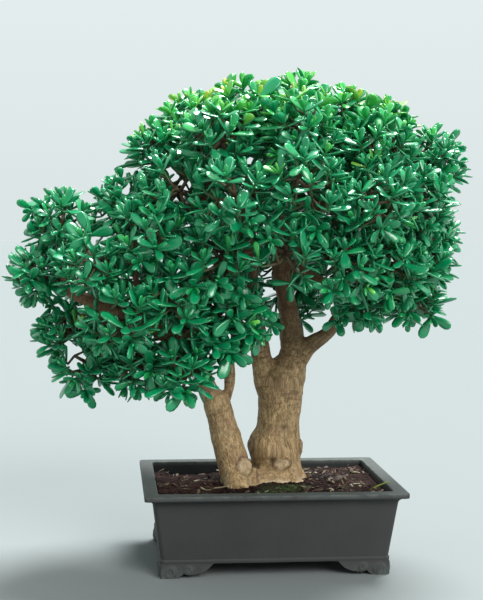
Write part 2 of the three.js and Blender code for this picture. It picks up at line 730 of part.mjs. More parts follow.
function soilTop(x, y) {
  const fromMoundX = (x - SOIL_MOUND_MIDDLE[0]) / SOIL_MOUND_SPREAD[0];
  const fromMoundY = (y - SOIL_MOUND_MIDDLE[1]) / SOIL_MOUND_SPREAD[1];
  const mound = SOIL_MOUND * Math.exp(-(fromMoundX ** 2) - fromMoundY ** 2);
  const lumps =
    SOIL_LUMPS.height * Math.sin(x / SOIL_LUMPS.x + SOIL_LUMPS.start) * Math.cos(y / SOIL_LUMPS.y);
  const ripples = SOIL_RIPPLES.height * Math.sin(x / SOIL_RIPPLES.x - y / SOIL_RIPPLES.y);
  return POT_HEIGHT - SOIL_DEPTH_BELOW_RIM + mound + lumps + ripples;
}

function makeSoil(woodGrown) {
  const low = floorTop + GAP;
  const rings = [roundedRing(floorX - SOIL_EDGE_GAP, floorY - SOIL_EDGE_GAP, RIM_CORNER, low)];
  const edge = POT_HEIGHT - SOIL_DEPTH_BELOW_RIM;
  const share = (edge - floorTop) / (POT_HEIGHT - EDGE_EASE - floorTop);
  const edgeX = floorX + (mouthX - floorX) * share - SOIL_EDGE_GAP;
  const edgeY = floorY + (mouthY - floorY) * share - SOIL_EDGE_GAP;
  for (const size of SOIL_RINGS) {
    const corner = RIM_CORNER + (1 - size) * SOIL_CORNER_GROWTH;
    const ring = roundedRing(edgeX * size, edgeY * size, Math.min(corner, edgeY * size - 1), 0);
    rings.push(ring.map(([x, y]) => [x, y, soilTop(x, y)]));
  }
  let soil = loft(rings);
  for (const place of [-DRAIN_SPACING / 2, DRAIN_SPACING / 2]) {
    const half = SCREEN_SIDE / 2 + GAP;
    const roof = low + SCREEN_THICKNESS + GAP;
    soil = soil.subtract(slab([place - half, -half, low - 1], [place + half, half, roof]));
  }
  return soil.subtract(woodGrown);
}

// The whole plant

const plant = new THREE.Group();

function place(name, body, material) {
  const mesh = new THREE.Mesh(geometryOf(body), material);
  mesh.name = name;
  plant.add(mesh);
}

const branches = makeBranches(0);
const wood = joined([makeStock(0), ...SCARS.map(makeScar), ...branches]);
const woodGrown = joined([makeStock(GAP), ...SCARS.map(makeScar), ...makeBranches(GAP)]);

place("pot", makePot(), CLAY);
place("drain_screen_left", makeScreen(-DRAIN_SPACING / 2), PLASTIC);
place("drain_screen_right", makeScreen(DRAIN_SPACING / 2), PLASTIC);
place("soil", makeSoil(woodGrown), EARTH);
place("trunk", wood, BARK);
for (const head of heads) {
  const name = "leafy_stem_" + String(head.number + 1).padStart(2, "0");
  place(name, makeLeafyStem(head, woodGrown), head.middle.z > YOUNG_HEIGHT ? YOUNG_GREEN : LEAF_GREEN);
}

const box = new THREE.Box3().setFromObject(plant);
plant.position.set(-(box.min.x + box.max.x) / 2, -(box.min.y + box.max.y) / 2, -box.min.z);

const bonsai = new THREE.Group();
bonsai.add(plant);

export default bonsai;
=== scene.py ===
"""Jade plant bonsai in a rectangular clay pot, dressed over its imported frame.

The plant is laid out in millimetres round the middle of the pot, with the ground at z = 0 and the front
towards -Y, and make_piece turns that into metres at the pot's place in the frame.
"""

import math

import bpy
import numpy as np
from mathutils import Matrix, Vector


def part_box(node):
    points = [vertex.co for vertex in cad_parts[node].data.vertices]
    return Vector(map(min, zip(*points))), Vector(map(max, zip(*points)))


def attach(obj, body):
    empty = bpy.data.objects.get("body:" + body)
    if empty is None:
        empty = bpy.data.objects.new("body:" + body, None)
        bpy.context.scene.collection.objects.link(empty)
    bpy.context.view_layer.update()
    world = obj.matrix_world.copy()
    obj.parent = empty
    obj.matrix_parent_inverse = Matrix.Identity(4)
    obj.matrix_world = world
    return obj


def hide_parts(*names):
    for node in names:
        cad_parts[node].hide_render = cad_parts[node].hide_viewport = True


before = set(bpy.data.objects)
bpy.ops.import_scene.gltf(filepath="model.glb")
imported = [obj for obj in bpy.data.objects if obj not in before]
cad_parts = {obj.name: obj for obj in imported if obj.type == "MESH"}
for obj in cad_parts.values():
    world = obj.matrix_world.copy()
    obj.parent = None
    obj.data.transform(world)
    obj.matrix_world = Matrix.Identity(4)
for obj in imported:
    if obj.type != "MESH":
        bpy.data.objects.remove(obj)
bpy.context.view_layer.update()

MILLIMETRE = 0.001

# Camera: its place from the middle of the pot in metres, its yaw, pitch and roll, and its focal length
CAMERA_PLACE = (-0.320, -2.437, 0.679)
CAMERA_YAW = -0.1084
CAMERA_PITCH = -0.0667
CAMERA_ROLL = 0.0101
FOCAL_PIXELS = 1239
PICTURE_HEIGHT = 600
SENSOR_WIDTH = 36
CAMERA_REACH = 100

# Light from all round: how its strength goes with a direction's Y and Z, from two values to two strengths
WORLD_DEPTH = (-0.7, 0.5, 0.55, 1.0)
WORLD_HEIGHT = (0.0, 0.25, 0.79, 0.89)
WORLD_COLOUR = (0.90, 0.99, 0.99)
# Two broad soft lights: where each comes from, its strength, how wide it looks in degrees, and its colour
LIGHTS = [
    ("key", (0.5, -0.9, 0.7), 2.6, 34, (1.0, 0.99, 0.97)),
    ("top", (0.25, 0.35, 1.0), 7.4, 26, (0.97, 0.99, 1.0)),
]
FLOOR_REACH = 30
FLOOR_COLOUR = (0.205, 0.226, 0.225)
FLOOR_ROUGHNESS = 0.95
FLOOR_SHINE = 0.1

# Pot
RIM_TOP_WIDTH = 26
LIP_HEIGHT = 10
LIP_OVERHANG = 18
COVE_HEIGHT = 15
COVE_OUT_SHARE = 0.9
COVE_STEPS = 6
WALL_TAPER = 14
WALL_THICKNESS = 12
FLOOR_THICKNESS = 12
FOOT_HEIGHT = 27
FOOT_TOP = FOOT_HEIGHT + 1
FOOT_LENGTH = 102
FOOT_SIDE_LENGTH = 84
FOOT_THICKNESS = 26
BAND_HEIGHT = 8
BAND_DEPTH = 2
RIM_CORNER = 7
WALL_CORNER = 9
CORNER_STEPS = 7
EDGE_EASE = 1.5
# Middle of an eased edge: how far in and how far down it is cut, on the band and on the lip
BAND_CUT = (0.6, 0.4)
LIP_CUT = 0.5
# Wall just above the band: how far out and how far up two rings of it lie
WALL_STARTS = [(0.3, 0.2), (0.4, 2)]
WALL_SHARES = (0.3, 0.6, 0.9, 1)
FLAT_EDGE = 4
MOUTH_SLOPE = (1, 10)
DRAIN_RADIUS = 14
DRAIN_SPACING = 220
DRAIN_SIDES = 28
CLAY_SHARP_DEGREES = 50
# Wear of the clay: how far it reaches from the rim's edges across and down, and its strength on the feet
WEAR_REACH = 1.5
WEAR_DROP = 2.5
FOOT_WEAR = 0.6
# Painted shade inside the wall: how far under the rim it starts, and the height over which it grows
INNER_SHADE_START = 2
INNER_SHADE_SPAN = 8

# A foot's flat toe as a share of its length, and its underside after it: the control point and end of
# each curve, as a share of the length and a height
TOE_SHARE = 0.34
FOOT_CURVES = [
    (0.41, 3, 0.44, 9),
    (0.5, 5, 0.6, 5.5),
    (0.86, 7, 1, FOOT_TOP),
]
CURVE_SHARES = (0.2, 0.4, 0.6, 0.8, 1)
FOOT_VOXEL = 2.0
FOOT_PASSES = 2
FACE_DEPTH = 3
# Scrolls carved on the face of a foot: middle as a share of its length and a height, and radius
FOOT_SCROLLS = [(0.2, 12, 11), (0.52, 15, 8.5)]
SCROLL_PITCH = 5.5
SCROLL_DEPTH = 2.4
SCROLL_FADE = 1.4
SCROLL_SWELL = 3.2
SWELL_REACH = 1.2
SWELL_ROUNDNESS = 0.7

# Soil
SOIL_DEPTH_BELOW_RIM = 16
SOIL_MOUND = 8
SOIL_MOUND_MIDDLE = (-10, 25)
SOIL_MOUND_SPREAD = (110, 85)
SOIL_DIP = 12
SOIL_DIP_MIDDLE = (-150, 150)
SOIL_DIP_SPREAD = (90, 80)
# Waves of lumps: height, and length across and in depth
BROAD_LUMPS = (1.6, 21, 17)
SMALL_LUMPS = (1.1, 11, 13)
SOIL_EDGE_GAP = 1
SOIL_BOTTOM_GAP = 0.3
SOIL_BOTTOM_SHARE = 0.99
SOIL_STEP = 2.4
# Crumbs of each size: width, height, and the seed of their places
CRUMBS = [(10, 5.2, 40), (5, 3.0, 50)]
CRUMB_LOWEST = 0.3
CRUMB_SUNK = 0.6
# Painted shade in the gaps between crumbs: how fast it grows away from a crumb's middle, and where it starts
GAP_SHADE_SLOPE = 2.2
GAP_SHADE_START = 1.1
CRUMB_TONE = 0.72
CLOUD_TONE = 0.3
DARKEST_TONE = 0.12

# Limbs of the one grown plant, each a list of stations (x, y, z, radius)
LIMBS = {
    "left_trunk": [
        (-54, 0, 112, 29), (-61, 0, 142, 29), (-71, 0, 198, 31), (-83, 0, 238, 31),
        (-93, -4, 276, 27), (-104, -6, 312, 26), (-112, -8, 332, 18),
    ],
    "left_limb": [
        (-102, -6, 300, 20), (-124, -12, 348, 18), (-148, -20, 394, 16), (-198, -28, 442, 15),
        (-274, -32, 484, 14), (-372, -36, 523, 12), (-404, -36, 542, 9),
    ],
    "left_inner_branch": [
        (-92, 0, 295, 11), (-80, 4, 327, 9), (-76, 9, 354, 11), (-76, 18, 396, 9), (-92, 40, 450, 6),
    ],
    "left_riser": [(-262, -32, 480, 9), (-262, -28, 545, 7), (-278, -10, 610, 6)],
    "root_stock": [(-62, -2, 134, 26), (-20, 18, 134, 36), (26, 44, 136, 48)],
    "right_trunk": [
        (28, 50, 100, 50), (28, 50, 142, 54), (27, 50, 172, 50), (23, 52, 211, 55),
        (29, 52, 246, 45), (32, 52, 303, 45), (34, 52, 342, 47), (40, 52, 366, 40), (48, 53, 392, 24),
    ],
    "left_fork": [
        (21, 52, 286, 22), (8, 52, 338, 27), (-6, 48, 384, 22), (-14, 42, 430, 19), (-24, 32, 490, 17),
        (-34, 20, 560, 15), (-44, 8, 630, 13), (-60, 0, 688, 11),
    ],
    "left_fork_side": [(-44, 8, 622, 10), (-88, 0, 686, 8), (-130, 0, 735, 7)],
    "left_fork_front": [(-34, 20, 555, 10), (-32, -40, 606, 8), (-28, -96, 640, 7)],
    "left_fork_back": [(-30, 26, 535, 10), (-44, 80, 585, 8), (-60, 108, 640, 7)],
    "main_fork": [
        (50, 52, 350, 34), (58, 54, 405, 28), (56, 54, 427, 25), (53, 54, 461, 21.5), (43, 53, 514, 18.5),
        (28, 47, 585, 18), (27, 42, 650, 15), (52, 36, 752, 10),
    ],
    "main_fork_east": [(29, 42, 630, 12), (94, 34, 696, 9), (158, 24, 738, 8)],
    "main_fork_front": [(29, 44, 600, 11), (62, -20, 632, 9), (92, -90, 655, 7)],
    "main_fork_back": [(30, 46, 590, 11), (54, 96, 640, 9), (92, 124, 690, 7)],
    "cross_branch": [(30, 46, 602, 13), (74, 36, 574, 11), (118, 20, 548, 9), (148, -10, 560, 7)],
    "right_branch": [
        (62, 52, 385, 24), (82, 46, 413, 20), (100, 43, 427, 17), (118, 41, 439, 14), (132, 39, 453, 13),
        (144, 36, 474, 12.5), (157, 32, 494, 12), (204, 16, 575, 10), (238, 14, 612, 8),
    ],
}
TRUNKS = ("left_trunk", "right_trunk", "root_stock")

# Root flares: where each leaves the stock, where it dives into the soil, and its two radii
ROOTS = [
    ((42, 24, 166), (60, -16, 138), 22, 12),
    ((50, 44, 168), (86, 34, 138), 22, 10),
    ((32, 74, 168), (44, 116, 138), 22, 11),
    ((-4, 22, 160), (-8, -22, 138), 20, 12),
    ((-68, 2, 168), (-86, -8, 138), 18, 8),
    ((-62, -4, 176), (-62, -48, 138), 28, 25),
    ((-28, -2, 172), (-33, -36, 138), 15, 20),
    ((20, 12, 166), (20, -8, 140), 22, 20),
    ((-2, 2, 168), (-6, -18, 138), 17, 17),
]

# Healed pruning scars: place, the way each faces, radius, its height as a share of its width, and how
# much paler its middle is
SCARS = [
    ((-49, -23, 186), (0.4, -0.9, 0.2), 17, 1.0, 0.42),
    ((29, 4, 185), (0.0, -1, 0.1), 18, 0.66, 0.34),
    ((-26, 44, 214), (-1, -0.3, 0.05), 17, 1.0, 0.0),
    ((73, 44, 210), (1, -0.2, 0.05), 16, 1.0, 0.0),
]
# Stations of a scar: height and size, each as a share of its radius
SCAR_PROFILE = [(-0.6, 1.15), (0.06, 1.02), (0.2, 0.88), (0.28, 0.6)]
SCAR_RAGGED = 0.16
SCAR_WOBBLE = 0.2
SCAR_DEEP = 0.9
# Rings of a scar, each a place and a width in shares of its radius; the dark ring round its edge is painted
# shadow
SCAR_LIP = 0.1
SCAR_LIP_RING = (0.75, 0.2)
SCAR_HOLLOW = (0, 0.5)
SCAR_DARK = 0.8
SCAR_DARK_RING = (1.1, 0.13)
SCAR_EDGE_SLOPE = 4
SCAR_PALE_END = 0.98
SCAR_PATCHY = 0.8
# Curls of bark inside a scar: how close, how wavy, how high and rough, how dark the painted shade in their
# hollows is, and where they end
CURLS = 11
CURL_SWAY = 2
CURL_HEIGHT = 0.7
CURL_ROUGHNESS = 0.8
CURL_DARK = 0.4
CURL_END = 0.95
# Small pits and nicks in the front of the bark: across, up, half width, half height and depth
NICKS = [
    (10, 191, 4, 5, 3), (23, 187, 5, 3, 2.4), (37, 258, 8, 3, 2.5), (37, 252, 7, 3, 1),
    (-77, 228, 4, 4, 1.5), (-90, 278, 6, 3, 1.5), (13, 357, 4, 5, 1.5), (45, 314, 3, 3, 1),
    (-58, 183, 3, 4, 1.2), (-48, 178, 5, 2, 1), (62, 232, 1.5, 24, 1.2), (-22, 168, 3, 14, 2),
]
NICK_RAGGED = 2
# Painted shade in the nicks, for each millimetre of their depth
NICK_DARK = 0.35
FRONT_SLOPE = 2

# Wood surface
WOOD_VOXEL = 3.4
LIMB_STEPS = 7
LIMB_SIDES = 20
BRANCH_SIDES = 10
SMOOTH_PASSES = 3
# Relief of the bark: full on wood of that radius, and least on thin wood
BARK_FULL_RADIUS = 40
BARK_LEAST = 0.12
RING_PITCH = 13
RING_HEIGHT = 0.7
RING_STRETCH = (0.2, 0.2, 1)
FIBRE_HEIGHT = 0.9
FIBRE_STRETCH = (1, 1, 0.28)
LUMP_HEIGHT = 2.2
SMALL_LUMP_SHARE = 0.5
# Frayed bark where the wood meets the soil, palest to the right of a place across
FRAY_HEIGHT = 5
FRAY_RAGGED = 0.7
FRAY_STRETCH = (1, 1, 0.3)
FRAY_REACH = 4
FRAY_FIBRES = 1.5
SCRAP_STRETCH = (1, 1, 0.5)
FRINGE_FROM = -30
FRINGE_SPAN = 20
FRINGE_LEAST = 0.2

# Heads of foliage, one for each leafy stem of the frame: middle and reach of the leaf tips
HEADS = [
    # Top of the crown from left to right, then its front and back shoulders
    (-220, -10, 804, 65), (-147, 40, 854, 85), (-55, -50, 860, 86), (45, 30, 885, 84),
    (130, -40, 860, 84), (230, 40, 849, 77), (318, -20, 790, 74),
    (-110, -125, 820, 84), (40, -140, 835, 86), (180, -125, 805, 84),
    (-90, 130, 825, 86), (60, 150, 845, 88), (195, 130, 810, 86),
    # Front of the crown
    (-185, -105, 725, 82), (-90, -205, 715, 90), (40, -225, 730, 90), (165, -200, 705, 90),
    (262, -110, 710, 82), (-115, -165, 600, 84), (0, -215, 615, 86), (115, -190, 600, 84),
    (215, -125, 590, 78), (-80, -130, 520, 64),
    # Back of the crown
    (-185, 120, 735, 84), (-85, 205, 725, 90), (45, 225, 740, 92), (170, 205, 715, 90),
    (265, 115, 705, 84), (-90, 165, 610, 88), (40, 200, 610, 90), (170, 170, 600, 88),
    (60, 150, 510, 76),
    # Right side, and the low heads over the fork
    (318, 25, 660, 73), (297, -30, 595, 70), (299, 20, 524, 67), (172, -80, 532, 66),
    (-44, -98, 484, 52), (-106, -90, 466, 68),
    # Left lobe: its top, its rim, its front and its back
    (-287, -30, 700, 67), (-409, -5, 662, 66), (-296, 80, 672, 72),
    (-444, -15, 570, 64), (-399, 15, 452, 64), (-360, -20, 394, 65), (-262, -55, 392, 66),
    (-181, -100, 389, 67), (-160, 60, 450, 72),
    (-345, -115, 590, 74), (-240, -135, 640, 80), (-190, -145, 530, 76), (-300, -140, 490, 76),
    (-235, 130, 650, 82), (-350, 115, 560, 76), (-230, 135, 520, 78), (-310, 95, 430, 72),
]

# Branch that carries a head
BRANCH_STEPS = 4
BRANCH_BOW = 0.03
MOST_BOW = 5
BRANCH_SHARE = 0.8
BRANCH_RADIUS = 10
CORE_BACK_SHARE = 0.6
CORE_BACK_MARGIN = 2
STEM_SHOWN = 10
STEM_RADIUS = 6
STEM_END_RADIUS = 4.2
FORK_DROP = 30
FORK_DROP_COST = 0.9
FORK_NEAREST = 70
FORK_NEAR_COST = 200
FORK_SHARES = (0, 0.25, 0.5, 0.75, 1)

# Twigs of a head
FORKS_PER_HEAD = 6
FORK_REACH = 0.4
FORK_RADIUS = 3.2
TWIG_DIRECTIONS = 30
LOBE_DIRECTIONS = 25
LOBE_EDGE = -150
TWIG_RADIUS = 1.9
TWIG_SIDES = 5
TIP_INSET = 14
NEIGHBOUR_INSET = 16
LEAST_TWIG_SHARE = 0.5
TWIG_CLEARANCE = 12
TWIG_REACH = (0.84, 1.06)
TIP_LIFT = (1.0, 2.4)
WAY_SWAY = 0.08
TIP_SWAY = 0.14
TWIG_STRAIGHT = 12
FORK_TURN = 6
STEM_SUNK = 0.5
TWIG_BASE_SHARE = 0.85
TWIG_TIP_SHARE = 0.8
# Tones from the foot to the end of a stem, a fork and a twig
STEM_TONES = (0.0, 0.1)
FORK_TONES = (0.1, 0.25)
TWIG_TONES = (0.25, 1)

# Leaves
LEAF_LENGTH = 38
LEAF_WIDTH = 16
LEAF_THICKNESS = 4.5
# Pairs from the tip of a twig down: how far below the tip each sits, its size and its spread in degrees
LEAF_PAIRS = [(1, 0.55, 22), (4, 0.82, 44), (9, 1.0, 62), (17, 1.02, 76)]
LEAF_CUP = 0.06
LEAF_BEND = (0.05, 0.08)
LEAF_MIDDLE = 0.55
LEAF_FOOT_OUT = 0.6
LEAST_LEAF = 0.35
SIZE_SPREAD = 0.15
ROSETTE_GROWTH = (0.85, 1.12)
BREADTH = (0.88, 1.14)
PAIR_TURN = 0.12
ANGLE_SPREAD = 10
LEAF_CLEARANCE = 2
# Young leaves: from what height on, how much broader the highest are, and how many pairs of a twig
YOUNG_FROM = 800
YOUNG_SPAN = 110
YOUNG_PART = (0.1, 1)
HIGH_BREADTH = 0.32
YOUNG_PAIRS = 3
FRESH_PAIRS = 2
FRESH_SHARE = 0.04
YELLOW_SHARE = 0.0015
YELLOW_TONE = (0.8, 1)
# Tone of a leaf: its least and its spread, and what is added on the first pair and for youth
TONE_LEAST = 0.16
TONE_SPREAD = 0.24
TONE_FIRST_PAIR = 0.1
TONE_YOUNG_PAIRS = 0.5
TONE_YOUNG = 0.16
TONE_FRESH = 0.34
# Stations of a leaf: share of its length, width and thickness
LEAF_STATIONS = [
    (0.0, 0.26, 0.75), (0.14, 0.4, 0.9), (0.36, 0.74, 1.0), (0.6, 0.98, 1.0), (0.8, 0.97, 0.84),
    (0.94, 0.62, 0.55),
]
# Section of a leaf from its left edge over the top: across and up
LEAF_SECTION = [(-1, 0.15), (-0.5, 0.85), (0.5, 0.85), (1, 0.15), (0, -1)]

# Gaps that one sees through from the camera: where each line of sight crosses the middle of the plant,
# across and up, and the radius that stays open
GAPS = [
    (-4, 569, 12), (0, 529, 12), (11, 501, 7), (2, 460, 10), (6, 424, 6), (-349, 628, 9), (-326, 626, 7),
    (-382, 406, 16), (-123, 577, 10), (-198, 768, 10), (-174, 739, 16), (-178, 717, 10), (-239, 781, 8),
    (-281, 730, 10), (-136, 809, 8), (-39, 790, 8), (-334, 677, 9), (-375, 667, 8), (-315, 655, 6),
    (-129, 722, 8), (89, 468, 8), (100, 486, 6),
]
# Lines of sight to the wood, across and up at the middle of the plant, and their radius; leaves that
# stand further back than the wood may stay
WOOD_SIGHTS = [
    (23, 581, 13), (30, 563, 12), (68, 571, 9), (98, 564, 8), (28, 510, 10), (33, 647, 6), (53, 754, 6),
    (-39, 609, 9), (-368, 520, 9), (-352, 511, 10), (-330, 503, 10), (-308, 499, 9), (-281, 556, 6),
]
WOOD_SIGHT_BACK = 40
GAP_TIP_MARGIN = 5

# Large rosettes that face the front: across and up at the middle of the plant, size, and turn in degrees
STARS = [
    (-115, 484, 1.25, 40), (-174, 444, 1.15, 15), (-166, 329, 1.2, 50), (-234, 371, 1.2, 0),
    (-75, 409, 1.15, 60), (-55, 522, 1.15, 0), (-14, 497, 1.15, 35), (-150, 538, 1.15, 10),
    (5, 463, 1.1, 75), (2, 628, 1.1, 15), (65, 526, 1.15, 50), (243, 529, 1.25, 5),
    (-464, 684, 1.0, 50), (-352, 637, 1.1, 20), (-468, 550, 1.15, 60), (-427, 500, 1.1, 45),
    (-360, 333, 1.1, 10), (93, 651, 1.1, 40), (140, 472, 1.0, 20), (330, 480, 1.1, 60),
]
STAR_INSET = 12
STAR_DROOP = 0.35
STAR_CLEARANCE = 24

# Litter on the soil: its patches, how thick it lies there and to the right of a place, and what it
# keeps clear of the wall and of the wood
FLAKE_COUNT = 620
LITTER_PATCH = 26
LITTER_DENSITY = 0.25
LITTER_RIGHT = 60
LITTER_RIGHT_DENSITY = 0.3
LITTER_MARGIN = 6
LITTER_GAP = 2
# A flake: how it tilts and faces, its length as a gamma draw over the shortest, and its other measures
FLAKE_TILT = 0.3
FLAKE_FACING = 0.25
FLAKE_LENGTH = (4, 1.6)
FLAKE_SHORTEST = 3
FLAKE_WIDTH = (0.3, 0.7)
FLAKE_THICKNESS = 1.1
FLAKE_BEND = 0.1
FLAKE_LIFT = 1.6
FLAKE_TILT_LIFT = 0.4
FLAKE_TONE = (1.2, 2.1)
FLAKE_PALEST = 0.9
# Fallen leaves: across, deep, length and tone
FALLEN_LEAVES = [
    (118, -60, 24, 0.7), (134, -48, 22, 0.2), (-128, -58, 20, 0.9), (160, 62, 26, 0.1),
    (-150, 74, 22, 0.6), (96, -84, 18, 0.4), (186, -24, 24, 0.8), (190, 84, 24, 0.97), (206, 76, 24, 0.8),
    (-132, 34, 24, 0.8), (-159, -60, 18, 0.6),
]
FALLEN_LIFT = 2.6
FALLEN_TILT = 0.08
FALLEN_UP = (0.1, 0.1, 1.0)
FALLEN_WIDTH = 0.5
FALLEN_THICKNESS = 2.2
FALLEN_BEND = -0.15
# Loose bits on the soil, a green twig and a root: stations, radius and tone
LOOSE_BITS = [
    ([(194, -79, 148), (209, -83, 157), (230, -86, 166)], 1.7, 1.0),
    ([(-117, -64, 149), (-110, -71, 154), (-99, -66, 154), (-86, -48, 152)], 2.2, 0.62),
]
BIT_STEPS = 5
BIT_SIDES = 8
BIT_TAPER = 0.6

# Moss: its patch, the lobes of its uneven edge (height, count and turn), and its tufts
MOSS_COUNT = 4200
MOSS_MIDDLE = (12, -62)
MOSS_REACH = (52, 36)
MOSS_LOBES = [(0.25, 3, 1), (0.15, 7, 0)]
MOSS_LIFT = 0.4
MOSS_LEAN = 0.45
TUFT_HEIGHT = (1.2, 3.6)
TUFT_RADIUS = 1.3
TUFT_FOOT_TONE = 0.3
MOSS_TONE = 0.45
MOSS_CLUMPS = 0.8
MOSS_BRIGHTENING = 160

# Points of a grid are mixed into repeatable values by these factors
HASH_FACTORS = (73856093, 19349663, 83492791)
HASH_SEED_FACTOR = 40503
HASH_MIX_FACTOR = 1274126177
# How near an axis a way may run before its sides are measured from another, and those for a tube and
# for the grain of the wood
STEEP = 0.9
TUBE_SIDES = ((1.0, 0.2, 0.0), (0.0, 1.0, 0.2))
GRAIN_SIDE = (0.0, 1.0, 0.05)
LEAST_SLOPE = 1e-6

pot_low, pot_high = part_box("pot")
POT_MIDDLE = np.array([(pot_low.x + pot_high.x) / 2, (pot_low.y + pot_high.y) / 2, pot_low.z])
RIM_LENGTH, RIM_DEPTH, POT_HEIGHT = (pot_high - pot_low) / MILLIMETRE
FLOOR_TOP = FOOT_HEIGHT + FLOOR_THICKNESS
# Half lengths and half depths
LIP = np.array([RIM_LENGTH, RIM_DEPTH]) / 2
WALL_TOP = LIP - LIP_OVERHANG
WALL_FOOT = WALL_TOP - WALL_TAPER
BAND = WALL_FOOT + BAND_DEPTH
MOUTH = LIP - RIM_TOP_WIDTH
FLOOR_EDGE = WALL_FOOT - WALL_THICKNESS
EYE = np.array(CAMERA_PLACE) / MILLIMETRE

rng = np.random.default_rng(2027)


# Small helpers


def unit(vectors):
    """Vectors scaled to length 1."""
    return vectors / np.linalg.norm(vectors, axis=-1, keepdims=True)


def scatter(keys, seed):
    """A repeatable value from 0 to 1 for each row of whole numbers."""
    mixed = np.full(len(keys), seed * HASH_SEED_FACTOR)
    for column, factor in zip(keys.T, HASH_FACTORS):
        mixed = mixed ^ (column * factor)
    mixed = (mixed ^ (mixed >> 13)) * HASH_MIX_FACTOR
    mixed = mixed ^ (mixed >> 16)
    return ((mixed >> 4) & 0xFFFF) / 65535.0


def value_noise(points, size, seed):
    """Smooth noise from -1 to 1 with features of about that size."""
    cell = np.floor(points / size).astype(np.int64)
    part = points / size - cell
    part = part * part * (3 - 2 * part)
    total = np.zeros(len(points))
    for corner in np.ndindex(2, 2, 2):
        weight = np.prod(np.where(corner, part, 1 - part), axis=1)
        total += weight * (2 * scatter(cell + np.array(corner), seed) - 1)
    return total


def crumbs(x, y, size, seed):
    """How far each point lies from the middle of its crumb, in crumbs, and a value for that crumb."""
    points = np.stack([x, y], axis=1) / size
    cell = np.floor(points).astype(np.int64)
    nearest = np.full(len(points), np.inf)
    value = np.zeros(len(points))
    for step in np.ndindex(3, 3):
        key = cell + np.array(step) - 1
        middle = key + np.column_stack([scatter(key, seed), scatter(key, seed + 1)])
        distance = np.linalg.norm(points - middle, axis=1)
        closer = distance < nearest
        nearest = np.where(closer, distance, nearest)
        value = np.where(closer, scatter(key, seed + 2), value)
    return nearest, value


def clamped(values):
    """Values kept from 0 to 1."""
    return np.clip(values, 0, 1)


def bell(value, middle, width):
    """1 at its middle, falling away smoothly on both sides."""
    return np.exp(-(((value - middle) / width) ** 2))


def from_line(points, start, way):
    """How far each point lies along a line, and how far away from it."""
    away = points - start
    along = away @ way
    return along, np.linalg.norm(away - np.outer(along, way), axis=1)


def linked(name, data):
    """A new object in the scene."""
    piece = bpy.data.objects.new(name, data)
    bpy.context.scene.collection.objects.link(piece)
    return piece


def merged(name, parts, scale=1, place=(0, 0, 0)):
    """A mesh of parts, each (points, list of face arrays, material number, values of its points)."""
    points = np.concatenate([part[0] for part in parts]) * scale + place
    faces = []
    offset = 0
    for part_points, blocks, _, _ in parts:
        for block in blocks:
            faces.extend((block + offset).tolist())
        offset += len(part_points)
    mesh = bpy.data.meshes.new(name)
    mesh.from_pydata(points.tolist(), [], faces)
    return mesh


def make_piece(name, parts, materials, nodes=()):
    """One piece from parts in millimetres, which rides the one body and stands for those nodes.

    It keeps each value of the parts, one number or three for every point, for its material to read.
    """
    mesh = merged(name, parts, MILLIMETRE, POT_MIDDLE)
    numbers = [np.full(len(block), part[2], np.int32) for part in parts for block in part[1]]
    mesh.polygons.foreach_set("material_index", np.concatenate(numbers))
    mesh.shade_smooth()
    for key in sorted({key for part in parts for key in part[3]}):
        value = np.concatenate([part[3].get(key, np.zeros(len(part[0]))) for part in parts])
        kind, field = ("FLOAT", "value") if value.ndim == 1 else ("FLOAT_VECTOR", "vector")
        attribute = mesh.attributes.new(key, kind, "POINT")
        attribute.data.foreach_set(field, value.astype(np.float32).ravel())
    for material in materials:
        mesh.materials.append(material)
    piece = linked(name, mesh)
    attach(piece, "root")
    if nodes:
        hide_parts(*nodes)
    return piece


def points_of(mesh):
    """Points of a mesh as an array."""
    points = np.empty(len(mesh.vertices) * 3, np.float32)
    mesh.vertices.foreach_get("co", points)
    return points.reshape(-1, 3).astype(float)


def applied(piece):
    """The mesh of a piece after its modifiers, which are then gone."""
    bpy.context.view_layer.update()
    graph = bpy.context.evaluated_depsgraph_get()
    mesh = bpy.data.meshes.new_from_object(piece.evaluated_get(graph))
    piece.modifiers.clear()
    return mesh


def scratch_object(name, parts):
    """A plain object from parts, in millimetres, only to be worked on by modifiers."""
    return linked(name, merged(name, parts))


def face_blocks(mesh):
    """Faces of a mesh as one array for each number of corners."""
    by_count = {}
    for polygon in mesh.polygons:
        by_count.setdefault(polygon.loop_total, []).append(tuple(polygon.vertices))
    return [np.array(faces) for faces in by_count.values()]


def remeshed(piece, voxel, passes):
    """The mesh of a piece after its shells are merged into one skin and smoothed. The piece goes."""
    remesh = piece.modifiers.new("skin", "REMESH")
    remesh.mode = "VOXEL"
    remesh.voxel_size = voxel
    smooth = piece.modifiers.new("smooth", "SMOOTH")
    smooth.factor = 0.5
    smooth.iterations = passes
    mesh = applied(piece)
    bpy.data.objects.remove(piece)
    return mesh


def ring_quads(levels, count):
    """Faces between neighbouring rings of equal count."""
    i = np.arange(count)
    following = (i + 1) % count
    first = np.arange(levels - 1)[:, None] * count
    corners = [first + i, first + following, first + following + count, first + i + count]
    return np.stack(corners, axis=2).reshape(-1, 4)


def tube(centres, radii, sides):
    """A closed tube of rings round a line of centres, as a part."""
    centres = np.asarray(centres, float)
    headings = unit(np.gradient(centres, axis=0))
    side = np.array(TUBE_SIDES[0] if abs(headings[0][0]) < STEEP else TUBE_SIDES[1])
    angles = 2 * np.pi * np.arange(sides) / sides
    rings = []
    for centre, radius, heading in zip(centres, radii, headings):
        side = unit(side - heading * side.dot(heading))
        across = np.cross(heading, side)
        ring = np.outer(np.cos(angles), side) + np.outer(np.sin(angles), across)
        rings.append(centre + radius * ring)
    points = np.concatenate(rings + [centres[:1], centres[-1:]])
    i = np.arange(sides)
    following = (i + 1) % sides
    last = (len(centres) - 1) * sides
    start, end = len(points) - 2, len(points) - 1
    caps = np.concatenate([
        np.column_stack([np.full(sides, start), following, i]),
        np.column_stack([np.full(sides, end), last + i, last + following]),
    ])
    return points, [ring_quads(len(centres), sides), caps], 0, {}


